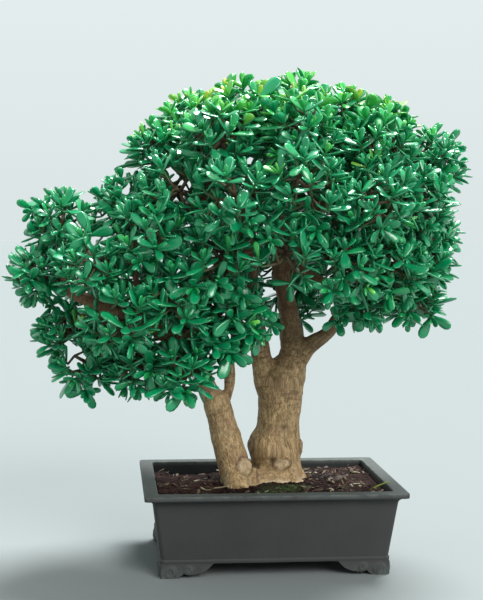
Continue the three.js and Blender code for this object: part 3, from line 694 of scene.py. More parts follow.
def limb(stations, steps, sides):
    """A closed tube on a curve through stations (x, y, z, radius), as a part."""
    line = smooth_line(stations, steps)
    return tube(line[:, :3], line[:, 3], sides)


def smooth_line(stations, steps):
    """A curve through stations of any number of values, with that many steps between two of them."""
    stations = np.asarray(stations, float)
    padded = np.concatenate([2 * stations[:1] - stations[1:2], stations, 2 * stations[-1:] - stations[-2:-1]])
    line = []
    for i in range(len(stations) - 1):
        a, b, c, d = padded[i : i + 4]
        for t in np.arange(steps) / steps:
            curve = 2 * b + (c - a) * t + (2 * a - 5 * b + 4 * c - d) * t**2 + (3 * b - a - 3 * c + d) * t**3
            line.append(curve / 2)
    line.append(stations[-1])
    return np.array(line)


def even_directions(count, turn):
    """Directions spread evenly over a ball, turned about the upright."""
    z = 1 - (2 * np.arange(count) + 1) / count
    ring = np.sqrt(1 - z * z)
    angle = np.arange(count) * np.pi * (3 - math.sqrt(5)) + turn
    return np.column_stack([ring * np.cos(angle), ring * np.sin(angle), z])


# Materials


class Shader:
    """The nodes of a material, or of the world, with short calls for the few kinds that are used."""

    def __init__(self, name, owners=bpy.data.materials, surface="Principled BSDF"):
        self.owner = owners.new(name)
        self.owner.use_nodes = True
        self.nodes = self.owner.node_tree.nodes
        self.links = self.owner.node_tree.links
        self.surface = self.nodes[surface]
        self.place = self.node("TexCoord").outputs["Object"]

    def node(self, kind, **inputs):
        node = self.nodes.new("ShaderNode" + kind)
        for name, value in inputs.items():
            self.feed(node.inputs[name.replace("_", " ")], value)
        return node

    def feed(self, socket, value):
        if isinstance(value, bpy.types.NodeSocket):
            self.links.new(value, socket)
        else:
            socket.default_value = value

    def value(self, name, output="Fac"):
        node = self.node("Attribute")
        node.attribute_name = name
        return node.outputs[output]

    def stretched(self, vector, scale):
        return self.node("Mapping", Vector=vector, Scale=scale).outputs[0]

    def noise(self, scale, detail=4.0, roughness=0.6, distortion=0.0, on=None):
        inputs = {"Scale": scale, "Detail": detail, "Roughness": roughness, "Distortion": distortion}
        return self.node("TexNoise", Vector=on or self.place, **inputs).outputs["Fac"]

    def ramp(self, factor, *stops):
        node = self.node("ValToRGB", Fac=factor)
        elements = node.color_ramp.elements
        while len(elements) < len(stops):
            elements.new(0.5)
        for element, (position, colour) in zip(elements, stops):
            element.position = position
            element.color = (*colour, 1)
        return node.outputs["Color"]

    def mix(self, factor, one, other):
        node = self.node("Mix")
        node.data_type = "RGBA"
        self.feed(node.inputs[0], factor)
        for socket, colour in ((node.inputs[6], one), (node.inputs[7], other)):
            self.feed(socket, (*colour, 1) if isinstance(colour, tuple) else colour)
        return node.outputs[2]

    def span(self, value, low, high, to_low=0.0, to_high=1.0):
        bounds = {"From_Min": low, "From_Max": high, "To_Min": to_low, "To_Max": to_high}
        return self.node("MapRange", Value=value, **bounds).outputs[0]

    def tinted(self, colour, tint, pattern, low, high, most):
        """A colour with a tint over it, which goes from none to its most as the pattern goes up."""
        return self.mix(self.span(pattern, low, high, to_high=most), colour, tint)

    def times(self, one, other):
        node = self.node("Math")
        node.operation = "MULTIPLY"
        self.feed(node.inputs[0], one)
        self.feed(node.inputs[1], other)
        return node.outputs[0]

    def bump(self, height, distance, strength=1.0, after=None):
        node = self.node("Bump", Height=height, Distance=distance, Strength=strength)
        if after:
            self.links.new(after, node.inputs["Normal"])
        return node.outputs[0]

    def finish(self, colour, roughness, normal=None, **settings):
        self.feed(self.surface.inputs["Base Color"], colour)
        self.feed(self.surface.inputs["Roughness"], roughness)
        if normal:
            self.links.new(normal, self.surface.inputs["Normal"])
        for name, value in settings.items():
            self.surface.inputs[name.replace("_", " ")].default_value = value
        return self.owner


def clay_material():
    """Unglazed dark clay, paler where it faces up and along its worn edges, with painted shade inside its
    wall.
    """
    s = Shader("clay")
    cloud = s.noise(scale=9, detail=5)
    grain = s.noise(scale=900, detail=3)
    body = s.ramp(cloud, (0.3, (0.0285, 0.029, 0.0285)), (0.7, (0.039, 0.040, 0.039)))
    body = s.tinted(body, (0.043, 0.045, 0.0435), grain, low=0.35, high=0.75, most=0.3)
    patchy = s.span(s.noise(scale=28), 0.2, 0.8, to_low=0.6)
    upward = s.node("SeparateXYZ", Vector=s.node("NewGeometry").outputs["Normal"]).outputs["Z"]
    dust = s.times(s.span(upward, 0.4, 1, to_high=0.75), patchy)
    body = s.mix(dust, body, (0.036, 0.049, 0.043))
    wear = s.times(s.value("wear"), s.span(s.noise(scale=60), 0.3, 0.62))
    body = s.mix(wear, body, (0.12, 0.145, 0.13))
    # Painted shade: the inside of the wall darkened from just under the rim downwards
    body = s.mix(s.value("stain"), body, (0.006, 0.0095, 0.0105))
    normal = s.bump(s.noise(scale=420), distance=0.0005, strength=0.6)
    normal = s.bump(s.noise(scale=34, detail=3), distance=0.0012, strength=0.35, after=normal)
    return s.finish(body, s.span(cloud, 0.2, 0.8, to_low=0.68, to_high=0.84), normal)


def plastic_material():
    """Moulded mesh of dull black plastic, dusty with soil."""
    s = Shader("screen_plastic")
    black, dust = (0.012, 0.013, 0.012), (0.05, 0.034, 0.024)
    colour = s.tinted(black, dust, s.noise(scale=160), low=0.4, high=0.7, most=0.6)
    return s.finish(colour, 0.6, s.bump(s.noise(scale=700, detail=2), distance=0.0002, strength=0.5))


def soil_material():
    """Dark reddish crumbly earth, with painted shade in the gaps between crumbs."""
    s = Shader("soil")
    colour = s.ramp(
        s.value("crumb"),
        (0.0, (0.003, 0.0012, 0.001)),
        (0.45, (0.015, 0.0045, 0.003)),
        (0.8, (0.034, 0.0105, 0.007)),
        (0.96, (0.052, 0.026, 0.015)),
        (1.0, (0.11, 0.078, 0.05)),
    )
    # Painted shade in the gaps between crumbs
    colour = s.tinted(colour, (0.002, 0.001, 0.0008), s.value("pit"), low=0, high=1, most=0.85)
    normal = s.bump(s.noise(scale=900, detail=5), distance=0.0008, strength=0.9)
    rough = s.span(s.noise(scale=240, detail=3), 0.2, 0.8, to_low=0.7, to_high=0.95)
    return s.finish(colour, rough, normal, Specular_IOR_Level=0.12)


def litter_material():
    """Dry bark chips and leaves, each with its own tone."""
    s = Shader("litter")
    colour = s.ramp(
        s.value("tone"),
        (0.0, (0.02, 0.010, 0.006)),
        (0.35, (0.065, 0.036, 0.020)),
        (0.6, (0.17, 0.125, 0.07)),
        (0.85, (0.40, 0.36, 0.25)),
        (1.0, (0.26, 0.32, 0.04)),
    )
    fibres = s.noise(on=s.stretched(s.place, (1, 1, 3)), scale=700, detail=3)
    colour = s.tinted(colour, (0.05, 0.03, 0.02), fibres, low=0.4, high=0.7, most=0.5)
    return s.finish(colour, 0.75, s.bump(fibres, distance=0.0004, strength=0.7))


def moss_material():
    """Low green moss, yellower at its tips."""
    s = Shader("moss")
    colour = s.ramp(
        s.value("tone"),
        (0, (0.004, 0.009, 0.003)),
        (0.4, (0.040, 0.088, 0.015)),
        (1, (0.20, 0.29, 0.05)),
    )
    return s.finish(colour, 0.9)


def bark_material():
    """Tan bark: fibres along the limb, thin rings round it, and redder wood inside the crown."""
    s = Shader("bark")
    grain = s.value("grain", "Vector")
    height = s.node("SeparateXYZ", Vector=s.place).outputs["Z"]
    fibre = s.noise(on=s.stretched(grain, (1, 1, 0.4)), scale=210, detail=6, roughness=0.72, distortion=0.7)
    strand = s.noise(on=s.stretched(grain, (1, 1, 0.12)), scale=110)
    patch = s.noise(on=s.stretched(grain, (1, 1, 0.5)), scale=26)
    fleck = s.noise(on=s.stretched(grain, (1, 1, 0.6)), scale=330, detail=3, distortion=0.8)
    ring = s.noise(on=s.stretched(grain, (0.16, 0.16, 1)), scale=170, detail=3, distortion=0.3)
    blush = s.noise(scale=17, detail=2)
    colour = s.ramp(
        fibre,
        (0.34, (0.11, 0.06, 0.024)),
        (0.45, (0.26, 0.163, 0.070)),
        (0.55, (0.40, 0.27, 0.126)),
        (0.68, (0.65, 0.49, 0.27)),
    )
    colour = s.tinted(colour, (0.12, 0.07, 0.03), strand, low=0.5, high=0.68, most=0.45)
    colour = s.tinted(colour, (0.19, 0.138, 0.062), patch, low=0.45, high=0.7, most=0.5)
    colour = s.tinted(colour, (0.27, 0.15, 0.085), blush, low=0.5, high=0.66, most=0.45)
    colour = s.tinted(colour, (0.56, 0.43, 0.26), fleck, low=0.54, high=0.72, most=0.6)
    rings = s.times(s.span(ring, 0.52, 0.62), s.span(height, 0.24, 0.34, to_low=0.05, to_high=0.6))
    colour = s.mix(rings, colour, (0.10, 0.05, 0.02))
    colour = s.tinted(colour, (0.13, 0.052, 0.025), height, low=0.36, high=0.5, most=0.6)
    # Painted shade from the scar value: round the scars, in their curls and in the nicks
    colour = s.mix(s.value("scar"), colour, (0.05, 0.023, 0.011))
    colour = s.mix(s.value("pale"), colour, (0.66, 0.53, 0.35))
    normal = s.bump(fibre, distance=0.0018, strength=0.8)
    normal = s.bump(strand, distance=0.0016, strength=0.6, after=normal)
    normal = s.bump(ring, distance=0.0012, strength=0.6, after=normal)
    normal = s.bump(s.noise(scale=800, detail=3), distance=0.0004, strength=0.6, after=normal)
    return s.finish(colour, s.span(fibre, 0.3, 0.7, to_low=0.85, to_high=0.62), normal)


def leaf_material():
    """Thick glossy leaf: emerald, yellow-green when young, with a painted mint highlight along its edge."""
    s = Shader("leaf")
    colour = s.ramp(
        s.value("tone"),
        (0.0, (0.0006, 0.17, 0.06)),
        (0.35, (0.0008, 0.28, 0.095)),
        (0.6, (0.028, 0.46, 0.062)),
        (0.8, (0.19, 0.64, 0.05)),
        (1.0, (0.60, 0.66, 0.05)),
    )
    cloud = s.noise(scale=130, detail=3)
    colour = s.tinted(colour, (0.001, 0.28, 0.13), cloud, low=0.35, high=0.75, most=0.4)
    # Painted highlight: a pale mint tint along the edge of each leaf
    colour = s.mix(s.times(s.value("edge"), 0.22), colour, (0.10, 0.46, 0.24))
    normal = s.bump(s.noise(scale=520, detail=2), distance=0.0003, strength=0.35)
    rough = s.span(s.noise(scale=60, detail=3), 0.3, 0.7, to_low=0.24, to_high=0.36)
    gloss = {"Specular_IOR_Level": 0.5, "Coat_Weight": 0.7, "Coat_Roughness": 0.16}
    return s.finish(colour, rough, normal, **gloss)


def stem_material():
    """Twigs: green at their tips, brown further in."""
    s = Shader("stem")
    colour = s.ramp(
        s.value("tone"),
        (0, (0.10, 0.045, 0.025)),
        (0.3, (0.085, 0.07, 0.03)),
        (0.6, (0.035, 0.12, 0.035)),
        (1, (0.02, 0.2, 0.05)),
    )
    speckle = s.noise(scale=300, detail=3)
    colour = s.tinted(colour, (0.05, 0.035, 0.02), speckle, low=0.4, high=0.7, most=0.4)
    return s.finish(colour, 0.6, s.bump(s.noise(scale=380, detail=3), distance=0.0006, strength=0.7))


# Pot


def rounded_ring(half, corner, z):
    """A level rectangle with rounded corners."""
    ring = []
    for quarter in range(4):
        side_x = 1 if quarter in (0, 3) else -1
        side_y = 1 if quarter < 2 else -1
        for step in range(CORNER_STEPS + 1):
            angle = (quarter + step / CORNER_STEPS) * math.pi / 2
            x = side_x * (half[0] - corner) + corner * math.cos(angle)
            y = side_y * (half[1] - corner) + corner * math.sin(angle)
            ring.append((x, y, z))
    return np.array(ring)


def skin(rings):
    """A closed skin over rings of equal count, as a part."""
    count = len(rings[0])
    i = np.arange(count)
    caps = np.stack([i[::-1], (len(rings) - 1) * count + i])
    return np.concatenate(rings), [ring_quads(len(rings), count), caps], 0, {}


def wall_sections():
    """Sections of the pot from its underside up its wall, over its lip and down inside: half, corner, z."""
    band_top = FOOT_HEIGHT + BAND_HEIGHT
    lip_bottom = POT_HEIGHT - LIP_HEIGHT
    cove_bottom = lip_bottom - COVE_HEIGHT
    cut_in, cut_up = BAND_CUT
    sections = [
        (WALL_FOOT - FLAT_EDGE, WALL_CORNER, FOOT_HEIGHT),
        (BAND - cut_in, WALL_CORNER, FOOT_HEIGHT + cut_up),
        (BAND, WALL_CORNER, FOOT_HEIGHT + EDGE_EASE),
        (BAND, WALL_CORNER, band_top - EDGE_EASE),
        (BAND - cut_in, WALL_CORNER, band_top - cut_up),
    ]
    for out, up in WALL_STARTS:
        sections.append((WALL_FOOT + out, WALL_CORNER, band_top + up))
    for share in WALL_SHARES:
        height = band_top + share * (cove_bottom - band_top)
        sections.append((WALL_FOOT + share * WALL_TAPER, WALL_CORNER, height))
    for step in range(1, COVE_STEPS + 1):
        turn = step / COVE_STEPS * math.pi / 2
        out = COVE_OUT_SHARE * LIP_OVERHANG * (1 - math.cos(turn))
        sections.append((WALL_TOP + out, WALL_CORNER, cove_bottom + COVE_HEIGHT * math.sin(turn)))
    for half, z in (
        (LIP - LIP_CUT, lip_bottom + LIP_CUT),
        (LIP, lip_bottom + EDGE_EASE),
        (LIP, POT_HEIGHT - EDGE_EASE),
        (LIP - LIP_CUT, POT_HEIGHT - LIP_CUT),
        (LIP - EDGE_EASE, POT_HEIGHT),
        (LIP - FLAT_EDGE, POT_HEIGHT),
        (MOUTH + FLAT_EDGE, POT_HEIGHT),
        (MOUTH + EDGE_EASE, POT_HEIGHT),
        (MOUTH + LIP_CUT, POT_HEIGHT - LIP_CUT),
        (MOUTH, POT_HEIGHT - EDGE_EASE),
        (MOUTH - MOUTH_SLOPE[0], POT_HEIGHT - MOUTH_SLOPE[1]),
        (FLOOR_EDGE, FLOOR_TOP),
    ):
        sections.append((half, RIM_CORNER, z))
    return sections


def pot_body():
    """Wall, lip and floor of the pot, with its drain holes, as a part."""
    rings = [rounded_ring(*section) for section in wall_sections()]
    body = scratch_object("pot_body", [skin(rings)])
    cutters = []
    for place in (-DRAIN_SPACING / 2, DRAIN_SPACING / 2):
        ends = [(place, 0, FOOT_HEIGHT - FLOOR_THICKNESS), (place, 0, FLOOR_TOP + FLOOR_THICKNESS)]
        cutter = scratch_object("drain", [tube(ends, [DRAIN_RADIUS] * 2, DRAIN_SIDES)])
        cut = body.modifiers.new("drain", "BOOLEAN")
        cut.operation = "DIFFERENCE"
        cut.solver = "EXACT"
        cut.object = cutter
        cutters.append(cutter)
    mesh = applied(body)
    for scratch in [body, *cutters]:
        bpy.data.objects.remove(scratch)
    return points_of(mesh), face_blocks(mesh), 0, {}


def foot_outline(length):
    """Outline of one arm of a foot: its flat toe, then its cloud-shaped underside, then its top."""
    outline = [(0.0, 0.0), (TOE_SHARE * length / 2, 0.0), (TOE_SHARE * length, 0.0)]
    for bend_share, bend_height, end_share, end_height in FOOT_CURVES:
        start = np.array(outline[-1])
        bend = np.array([bend_share * length, bend_height])
        end = np.array([end_share * length, end_height])
        for t in CURVE_SHARES:
            outline.append(tuple((1 - t) ** 2 * start + 2 * t * (1 - t) * bend + t * t * end))
    outline.append((0.0, FOOT_TOP))
    return np.array(outline)


def foot_arm(length):
    """One arm of a foot, lying along +X from the corner, with its face at y = 0 and its back at +Y."""
    outline = foot_outline(length)
    count = len(outline)
    face = np.column_stack([outline[:, 0], np.zeros(count), outline[:, 1]])
    back = face + (0, FOOT_THICKNESS, 0)
    i = np.arange(count)
    following = (i + 1) % count
    sides = np.column_stack([i, i + count, following + count, following])
    return np.concatenate([face, back]), [sides, np.stack([i, count + i[::-1]])]


def scroll_relief(along, up, length):
    """How far the swelling, carved scrolls sink into the face of a foot."""
    relief = np.zeros(len(along))
    for share, height, radius in FOOT_SCROLLS:
        x = along - share * length
        z = up - height
        reach = np.hypot(x, z)
        turn = np.arctan2(z, x) / (2 * np.pi)
        groove = 0.5 - 0.5 * np.cos(2 * np.pi * (reach / SCROLL_PITCH - turn))
        relief += SCROLL_DEPTH * groove * clamped(SCROLL_FADE * (1 - reach / radius))
        swell = clamped(1 - (reach / (SWELL_REACH * radius)) ** 2)
        relief -= SCROLL_SWELL * swell**SWELL_ROUNDNESS
    return relief


def pot_feet():
    """Four corner feet with carved scrolls: one made, and three mirrored from it."""
    front, front_faces = foot_arm(FOOT_LENGTH)
    side, side_faces = foot_arm(FOOT_SIDE_LENGTH)
    front = front * (-1, 1, 1) + (BAND[0], -BAND[1], 0)
    side = np.column_stack([BAND[0] - side[:, 1], -BAND[1] + side[:, 0], side[:, 2]])
    arms = [(front, front_faces), (side, side_faces)]
    arms = [(points, [block[:, ::-1] for block in faces], 0, {}) for points, faces in arms]
    mesh = remeshed(scratch_object("foot", arms), FOOT_VOXEL, FOOT_PASSES)
    points = points_of(mesh)
    faces = face_blocks(mesh)
    on_front = clamped(1 - (points[:, 1] + BAND[1]) / FACE_DEPTH)
    on_side = clamped(1 - (BAND[0] - points[:, 0]) / FACE_DEPTH)
    points[:, 1] += on_front * scroll_relief(BAND[0] - points[:, 0], points[:, 2], FOOT_LENGTH)
    points[:, 0] -= on_side * scroll_relief(points[:, 1] + BAND[1], points[:, 2], FOOT_SIDE_LENGTH)
    points[:, 2] = np.clip(points[:, 2], 0, FOOT_TOP)
    feet = []
    for mirror in ((1, 1), (-1, 1), (1, -1), (-1, -1)):
        turned = faces if mirror[0] * mirror[1] > 0 else [block[:, ::-1] for block in faces]
        feet.append((points * (*mirror, 1), turned, 0, {}))
    return feet


def with_wear_and_shade(part):
    """Adds how worn each point of the pot is, and how much painted shade it gets inside the wall."""
    points, faces, material, _ = part
    outer = np.abs(np.abs(points[:, :2]) - LIP).min(axis=1)
    inner = np.abs(np.abs(points[:, :2]) - MOUTH).min(axis=1)
    top = np.abs(points[:, 2] - POT_HEIGHT)
    edge = np.exp(-np.minimum(outer, inner) / WEAR_REACH) * np.exp(-top / WEAR_DROP)
    foot = FOOT_WEAR * clamped((FOOT_HEIGHT - points[:, 2]) / FOOT_HEIGHT)
    share = clamped((points[:, 2:] - FLOOR_TOP) / (POT_HEIGHT - EDGE_EASE - FLOOR_TOP))
    inside = FLOOR_EDGE + (MOUTH - FLOOR_EDGE) * share + WALL_THICKNESS / 4
    within = (np.abs(points[:, :2]) < inside).all(axis=1) & (points[:, 2] > FLOOR_TOP - 1)
    # Painted shade down the inside of the wall, from just under the rim
    stain = within * clamped((POT_HEIGHT - INNER_SHADE_START - points[:, 2]) / INNER_SHADE_SPAN)
    return points, faces, material, {"wear": np.maximum(edge, foot), "stain": stain}


def make_pot():
    parts = [with_wear_and_shade(part) for part in [pot_body(), *pot_feet()]]
    pot = make_piece("pot_clay", parts, [clay_material()], ["pot"])
    pot.data.set_sharp_from_angle(angle=math.radians(CLAY_SHARP_DEGREES))


# Soil and what lies on it


def hump(x, y, middle, spread):
    """A round rise that is 1 at its middle."""
    from_x = (x - middle[0]) / spread[0]
    from_y = (y - middle[1]) / spread[1]
    return np.exp(-(from_x**2) - from_y**2)


def soil_height(x, y):
    """Top of the soil before its crumbs."""
    mound = SOIL_MOUND * hump(x, y, SOIL_MOUND_MIDDLE, SOIL_MOUND_SPREAD)
    mound = mound - SOIL_DIP * hump(x, y, SOIL_DIP_MIDDLE, SOIL_DIP_SPREAD)
    height, across, deep = BROAD_LUMPS
    lumps = height * np.sin(x / across + 1) * np.cos(y / deep)
    height, across, deep = SMALL_LUMPS
    lumps = lumps + height * np.sin(x / across - y / deep)
    return POT_HEIGHT - SOIL_DEPTH_BELOW_RIM + mound + lumps


def on_soil(spots, lift=0.0):
    """Points that far over the soil at each spot (x, y)."""
    return np.column_stack([spots, soil_height(*spots.T) + lift])


def soil_edge():
    """Half length and half depth of the soil where it meets the wall of the pot."""
    rise = POT_HEIGHT - SOIL_DEPTH_BELOW_RIM - FLOOR_TOP
    share = rise / (POT_HEIGHT - EDGE_EASE - FLOOR_TOP)
    return FLOOR_EDGE + (MOUTH - FLOOR_EDGE) * share - SOIL_EDGE_GAP


def make_soil():
    half = soil_edge()
    columns, rows = (np.ceil(2 * half / SOIL_STEP)).astype(int) + 1
    across = np.linspace(-half[0], half[0], columns)
    grid_x, grid_y = np.meshgrid(across, np.linspace(-half[1], half[1], rows))
    x, y = grid_x.ravel(), grid_y.ravel()
    height = soil_height(x, y)
    pit = np.zeros(len(x))
    for size, rise, seed in CRUMBS:
        distance, value = crumbs(x, y, size, seed)
        crumb = np.sqrt(clamped(1 - distance**2)) - CRUMB_SUNK
        height += rise * (CRUMB_LOWEST + value) * crumb
        # Painted shade in the gaps between the crumbs
        pit = np.maximum(pit, clamped(GAP_SHADE_SLOPE * distance - GAP_SHADE_START))
    cloud = value_noise(np.column_stack([x, y, 0 * x]), size=30, seed=7)
    tone = clamped(CRUMB_TONE * value + CLOUD_TONE * cloud + DARKEST_TONE)
    top = np.column_stack([x, y, height])
    index = np.arange(rows * columns).reshape(rows, columns)
    quads = np.stack([index[:-1, :-1], index[:-1, 1:], index[1:, 1:], index[1:, :-1]], axis=2)
    rim = np.concatenate([index[0, :-1], index[:-1, -1], index[-1, :0:-1], index[:0:-1, 0]])
    narrowing = np.append(FLOOR_EDGE / half * SOIL_BOTTOM_SHARE, 0)
    bottom = top[rim] * narrowing + (0, 0, FLOOR_TOP + SOIL_BOTTOM_GAP)
    under = len(top) + np.arange(len(rim))
    skirt = np.column_stack([under, np.roll(under, -1), np.roll(rim, -1), rim])
    faces = [quads.reshape(-1, 4), skirt, under[::-1][None, :]]
    zeros = np.zeros(len(rim))
    values = {"crumb": np.append(tone, zeros), "pit": np.append(pit, zeros)}
    parts = [(np.concatenate([top, bottom]), faces, 0, values)]
    make_piece("soil_crumbs", parts, [soil_material()], ["soil"])


def flakes():
    """Bark chips strewn over the soil, thicker in patches and at the right, as a part."""
    half = soil_edge() - LITTER_MARGIN
    spots = rng.uniform(-half, half, (4 * FLAKE_COUNT, 2))
    thick = scatter(np.floor(spots / LITTER_PATCH).astype(np.int64), seed=5)
    right = np.where(spots[:, 0] > LITTER_RIGHT, LITTER_RIGHT_DENSITY, 0.0)
    spots = spots[rng.random(len(spots)) < LITTER_DENSITY * thick + right][:FLAKE_COUNT]
    spots = spots[wood_distance(on_soil(spots)) > LITTER_GAP]
    count = len(spots)
    turn = rng.uniform(0, 2 * np.pi, count)
    tilt = rng.normal(0, FLAKE_TILT, count)
    along = np.column_stack([np.cos(turn) * np.cos(tilt), np.sin(turn) * np.cos(tilt), np.sin(tilt)])
    up = unit(np.column_stack([rng.normal(0, FLAKE_FACING, (count, 2)), np.ones(count)]))
    length = rng.gamma(*FLAKE_LENGTH, count) + FLAKE_SHORTEST
    foot = on_soil(spots, FLAKE_LIFT)
    foot[:, 2] += FLAKE_TILT_LIFT * np.abs(tilt) * length
    tone = np.clip(rng.beta(*FLAKE_TONE, count), 0, FLAKE_PALEST)
    width = length * rng.uniform(*FLAKE_WIDTH, count)
    return leaf_blades(foot, along, up, length, width, FLAKE_THICKNESS, FLAKE_BEND, tone)


def fallen_leaf(x, y, length, tone):
    """One leaf that lies on the soil, as a part."""
    heading = rng.uniform(0, 2 * math.pi)
    along = unit(np.array([[math.cos(heading), math.sin(heading), FALLEN_TILT]]))
    foot = on_soil(np.array([[x, y]]), FALLEN_LIFT)
    sizes = [length], [FALLEN_WIDTH * length], FALLEN_THICKNESS
    return leaf_blades(foot, along, np.array([FALLEN_UP]), *sizes, FALLEN_BEND, [tone])


def make_litter():
    """Bark chips, dry leaves and loose bits that lie on the soil."""
    parts = [flakes(), *(fallen_leaf(*row) for row in FALLEN_LEAVES)]
    for stations, radius, tone in LOOSE_BITS:
        line = smooth_line(stations, BIT_STEPS)
        points, faces, *_ = tube(line, radius * np.linspace(1, BIT_TAPER, len(line)), BIT_SIDES)
        parts.append((points, faces, 0, {"tone": np.full(len(points), tone)}))
    make_piece("soil_litter", parts, [litter_material()])


def make_moss():
    """Patch of moss tufts in front of the root flare."""
    turn = rng.uniform(0, 2 * np.pi, MOSS_COUNT)
    edge = 1.0
    for height, count, start in MOSS_LOBES:
        edge = edge + height * np.sin(count * turn + start)
    out = np.sqrt(rng.random(MOSS_COUNT)) * edge
    x = MOSS_MIDDLE[0] + MOSS_REACH[0] * out * np.cos(turn)
    y = MOSS_MIDDLE[1] + MOSS_REACH[1] * out * np.sin(turn)
    foot = on_soil(np.column_stack([x, y]), MOSS_LIFT)
    foot = foot[wood_distance(foot) > 0]
    count = len(foot)
    lean = np.column_stack([rng.normal(0, MOSS_LEAN, (count, 2)), np.ones(count)])
    tip = foot + unit(lean) * rng.uniform(*TUFT_HEIGHT, (count, 1))
    angles = 2 * np.pi * np.arange(3) / 3
    spread = TUFT_RADIUS * np.column_stack([np.cos(angles), np.sin(angles), 0 * angles])
    points = np.concatenate([foot[:, None] + spread, tip[:, None]], axis=1).reshape(-1, 3)
    first = 4 * np.arange(count)[:, None, None]
    faces = (first + np.array([[0, 1, 3], [1, 2, 3], [2, 0, 3], [0, 2, 1]])).reshape(-1, 3)
    clump = MOSS_TONE + MOSS_CLUMPS * value_noise(foot, size=11, seed=31)
    clump = clamped(clump + foot[:, 0] / MOSS_BRIGHTENING)
    tone = np.repeat(clump * rng.random(count), 4) * np.tile([TUFT_FOOT_TONE] * 3 + [1], count)
    make_piece("moss_patch", [(points, [faces], 0, {"tone": tone})], [moss_material()])


# Heads


class Head:
    """One head of foliage: its middle, its reach, and the planes that part it from its neighbours."""

    def __init__(self, number, row):
        self.number = number
        self.middle = np.array(row[:3], float)
        self.reach = row[3]

    def part_from(self, others):
        """Sets the planes half way to the other heads, with regard to their reach."""
        between = np.array([other.middle - self.middle for other in others])
        distance = np.linalg.norm(between, axis=1)
        reaches = np.array([other.reach for other in others], float)
        self.facing = between / distance[:, None]
        self.share = (distance**2 + self.reach**2 - reaches**2) / (2 * distance)

    def room(self, way):
        """How far it is from the middle to the first of the planes."""
        slope = self.facing @ way
        ahead = slope > LEAST_SLOPE
        return (self.share[ahead] / slope[ahead]).min(initial=np.inf)

    def grow_branch(self):
        """Sets the branch from the limbs to the head's own stem."""
        place, radius = fork_point(self)
        inward = unit(place - self.middle)
        back = min(CORE_BACK_SHARE * self.reach, self.room(inward) - CORE_BACK_MARGIN)
        self.branch_end = self.middle + inward * (back + STEM_SHOWN)
        start_radius = min(BRANCH_SHARE * radius, BRANCH_RADIUS)
        self.branch = [(*place, start_radius), (*self.branch_end, STEM_RADIUS)]


def fork_point(head):
    """Where a head's branch leaves the limbs: near, and not from above."""
    best = None
    for name, stations in LIMBS.items():
        if name in TRUNKS:
            continue
        for one, other in zip(stations, stations[1:]):
            for share in FORK_SHARES:
                x, y, z, radius = np.array(one) + (np.array(other) - one) * share
                place = np.array([x, y, z])
                distance = np.linalg.norm(place - head.middle)
                drop = FORK_DROP_COST * max(0, z + FORK_DROP - head.middle[2])
                cost = distance + drop + (FORK_NEAR_COST if distance < FORK_NEAREST else 0)
                if best is None or cost < best[0]:
                    best = (cost, place, radius)
    return best[1:]


heads = [Head(number, row) for number, row in enumerate(HEADS)]
for head in heads:
    head.part_from([other for other in heads if other is not head])
    head.grow_branch()

stretches = []
for stations in [*LIMBS.values(), *(head.branch for head in heads)]:
    stretches += [(*one, *other) for one, other in zip(stations, stations[1:])]
STRETCHES = np.array(stretches, float)


def nearest_wood(points):
    """Nearest stretch of wood of each point: distance to its surface, its number, share of its length."""
    start, radius = STRETCHES[:, :3], STRETCHES[:, 3]
    along, thicker = STRETCHES[:, 4:7] - start, STRETCHES[:, 7] - radius
    squared = (along**2).sum(axis=1)
    best = np.full(len(points), np.inf)
    number = np.zeros(len(points), int)
    place = np.zeros(len(points))
    for i in range(len(STRETCHES)):
        share = clamped((points - start[i]) @ along[i] / squared[i])
        distance = np.linalg.norm(points - start[i] - share[:, None] * along[i], axis=1)
        distance = distance - radius[i] - thicker[i] * share
        closer = distance < best
        best[closer] = distance[closer]
        number[closer] = i
        place[closer] = share[closer]
    return best, number, place


def wood_distance(points):
    return nearest_wood(points)[0]


# Wood


def wood_shells():
    """Every limb, root, scar and branch as a closed tube."""
    shells = [limb(stations, LIMB_STEPS, LIMB_SIDES) for stations in LIMBS.values()]
    for start, end, radius, end_radius in ROOTS:
        shells.append(tube([start, end], [radius, end_radius], LIMB_SIDES))
    for place, facing, radius, flat, _ in SCARS:
        out = unit(np.array(facing, float))
        centres = [np.array(place) + out * radius * height for height, _ in SCAR_PROFILE]
        points, faces, *_ = tube(centres, [radius * size for _, size in SCAR_PROFILE], LIMB_SIDES)
        ragged = 1 + SCAR_RAGGED * value_noise(points, size=13, seed=23)
        points = centres[1] + (points - centres[1]) * ragged[:, None]
        shells.append((place + (points - place) * (1, 1, flat), faces, 0, {}))
    for head in heads:
        start, end = np.array(head.branch)
        bow = rng.normal(0, BRANCH_BOW, 3) * np.linalg.norm(end[:3] - start[:3])
        middle = (start + end) / 2 + (*np.clip(bow, -MOST_BOW, MOST_BOW), 0)
        shells.append(limb([start, middle, end], BRANCH_STEPS, BRANCH_SIDES))
    return shells


def limb_grain(points, number, share):
    """Each point as it would lie on a straight upright limb: round its axis, and along it."""
    start = STRETCHES[number, :3]
    along = STRETCHES[number, 4:7] - start
    length = np.linalg.norm(along, axis=1, keepdims=True)
    heading = along / length
    side = unit(np.cross(heading, GRAIN_SIDE))
    across = np.cross(heading, side)
    away = points - start - share[:, None] * along
    travelled = start[:, 2] + share * length[:, 0]
    return np.column_stack([(away * side).sum(1), (away * across).sum(1), travelled])


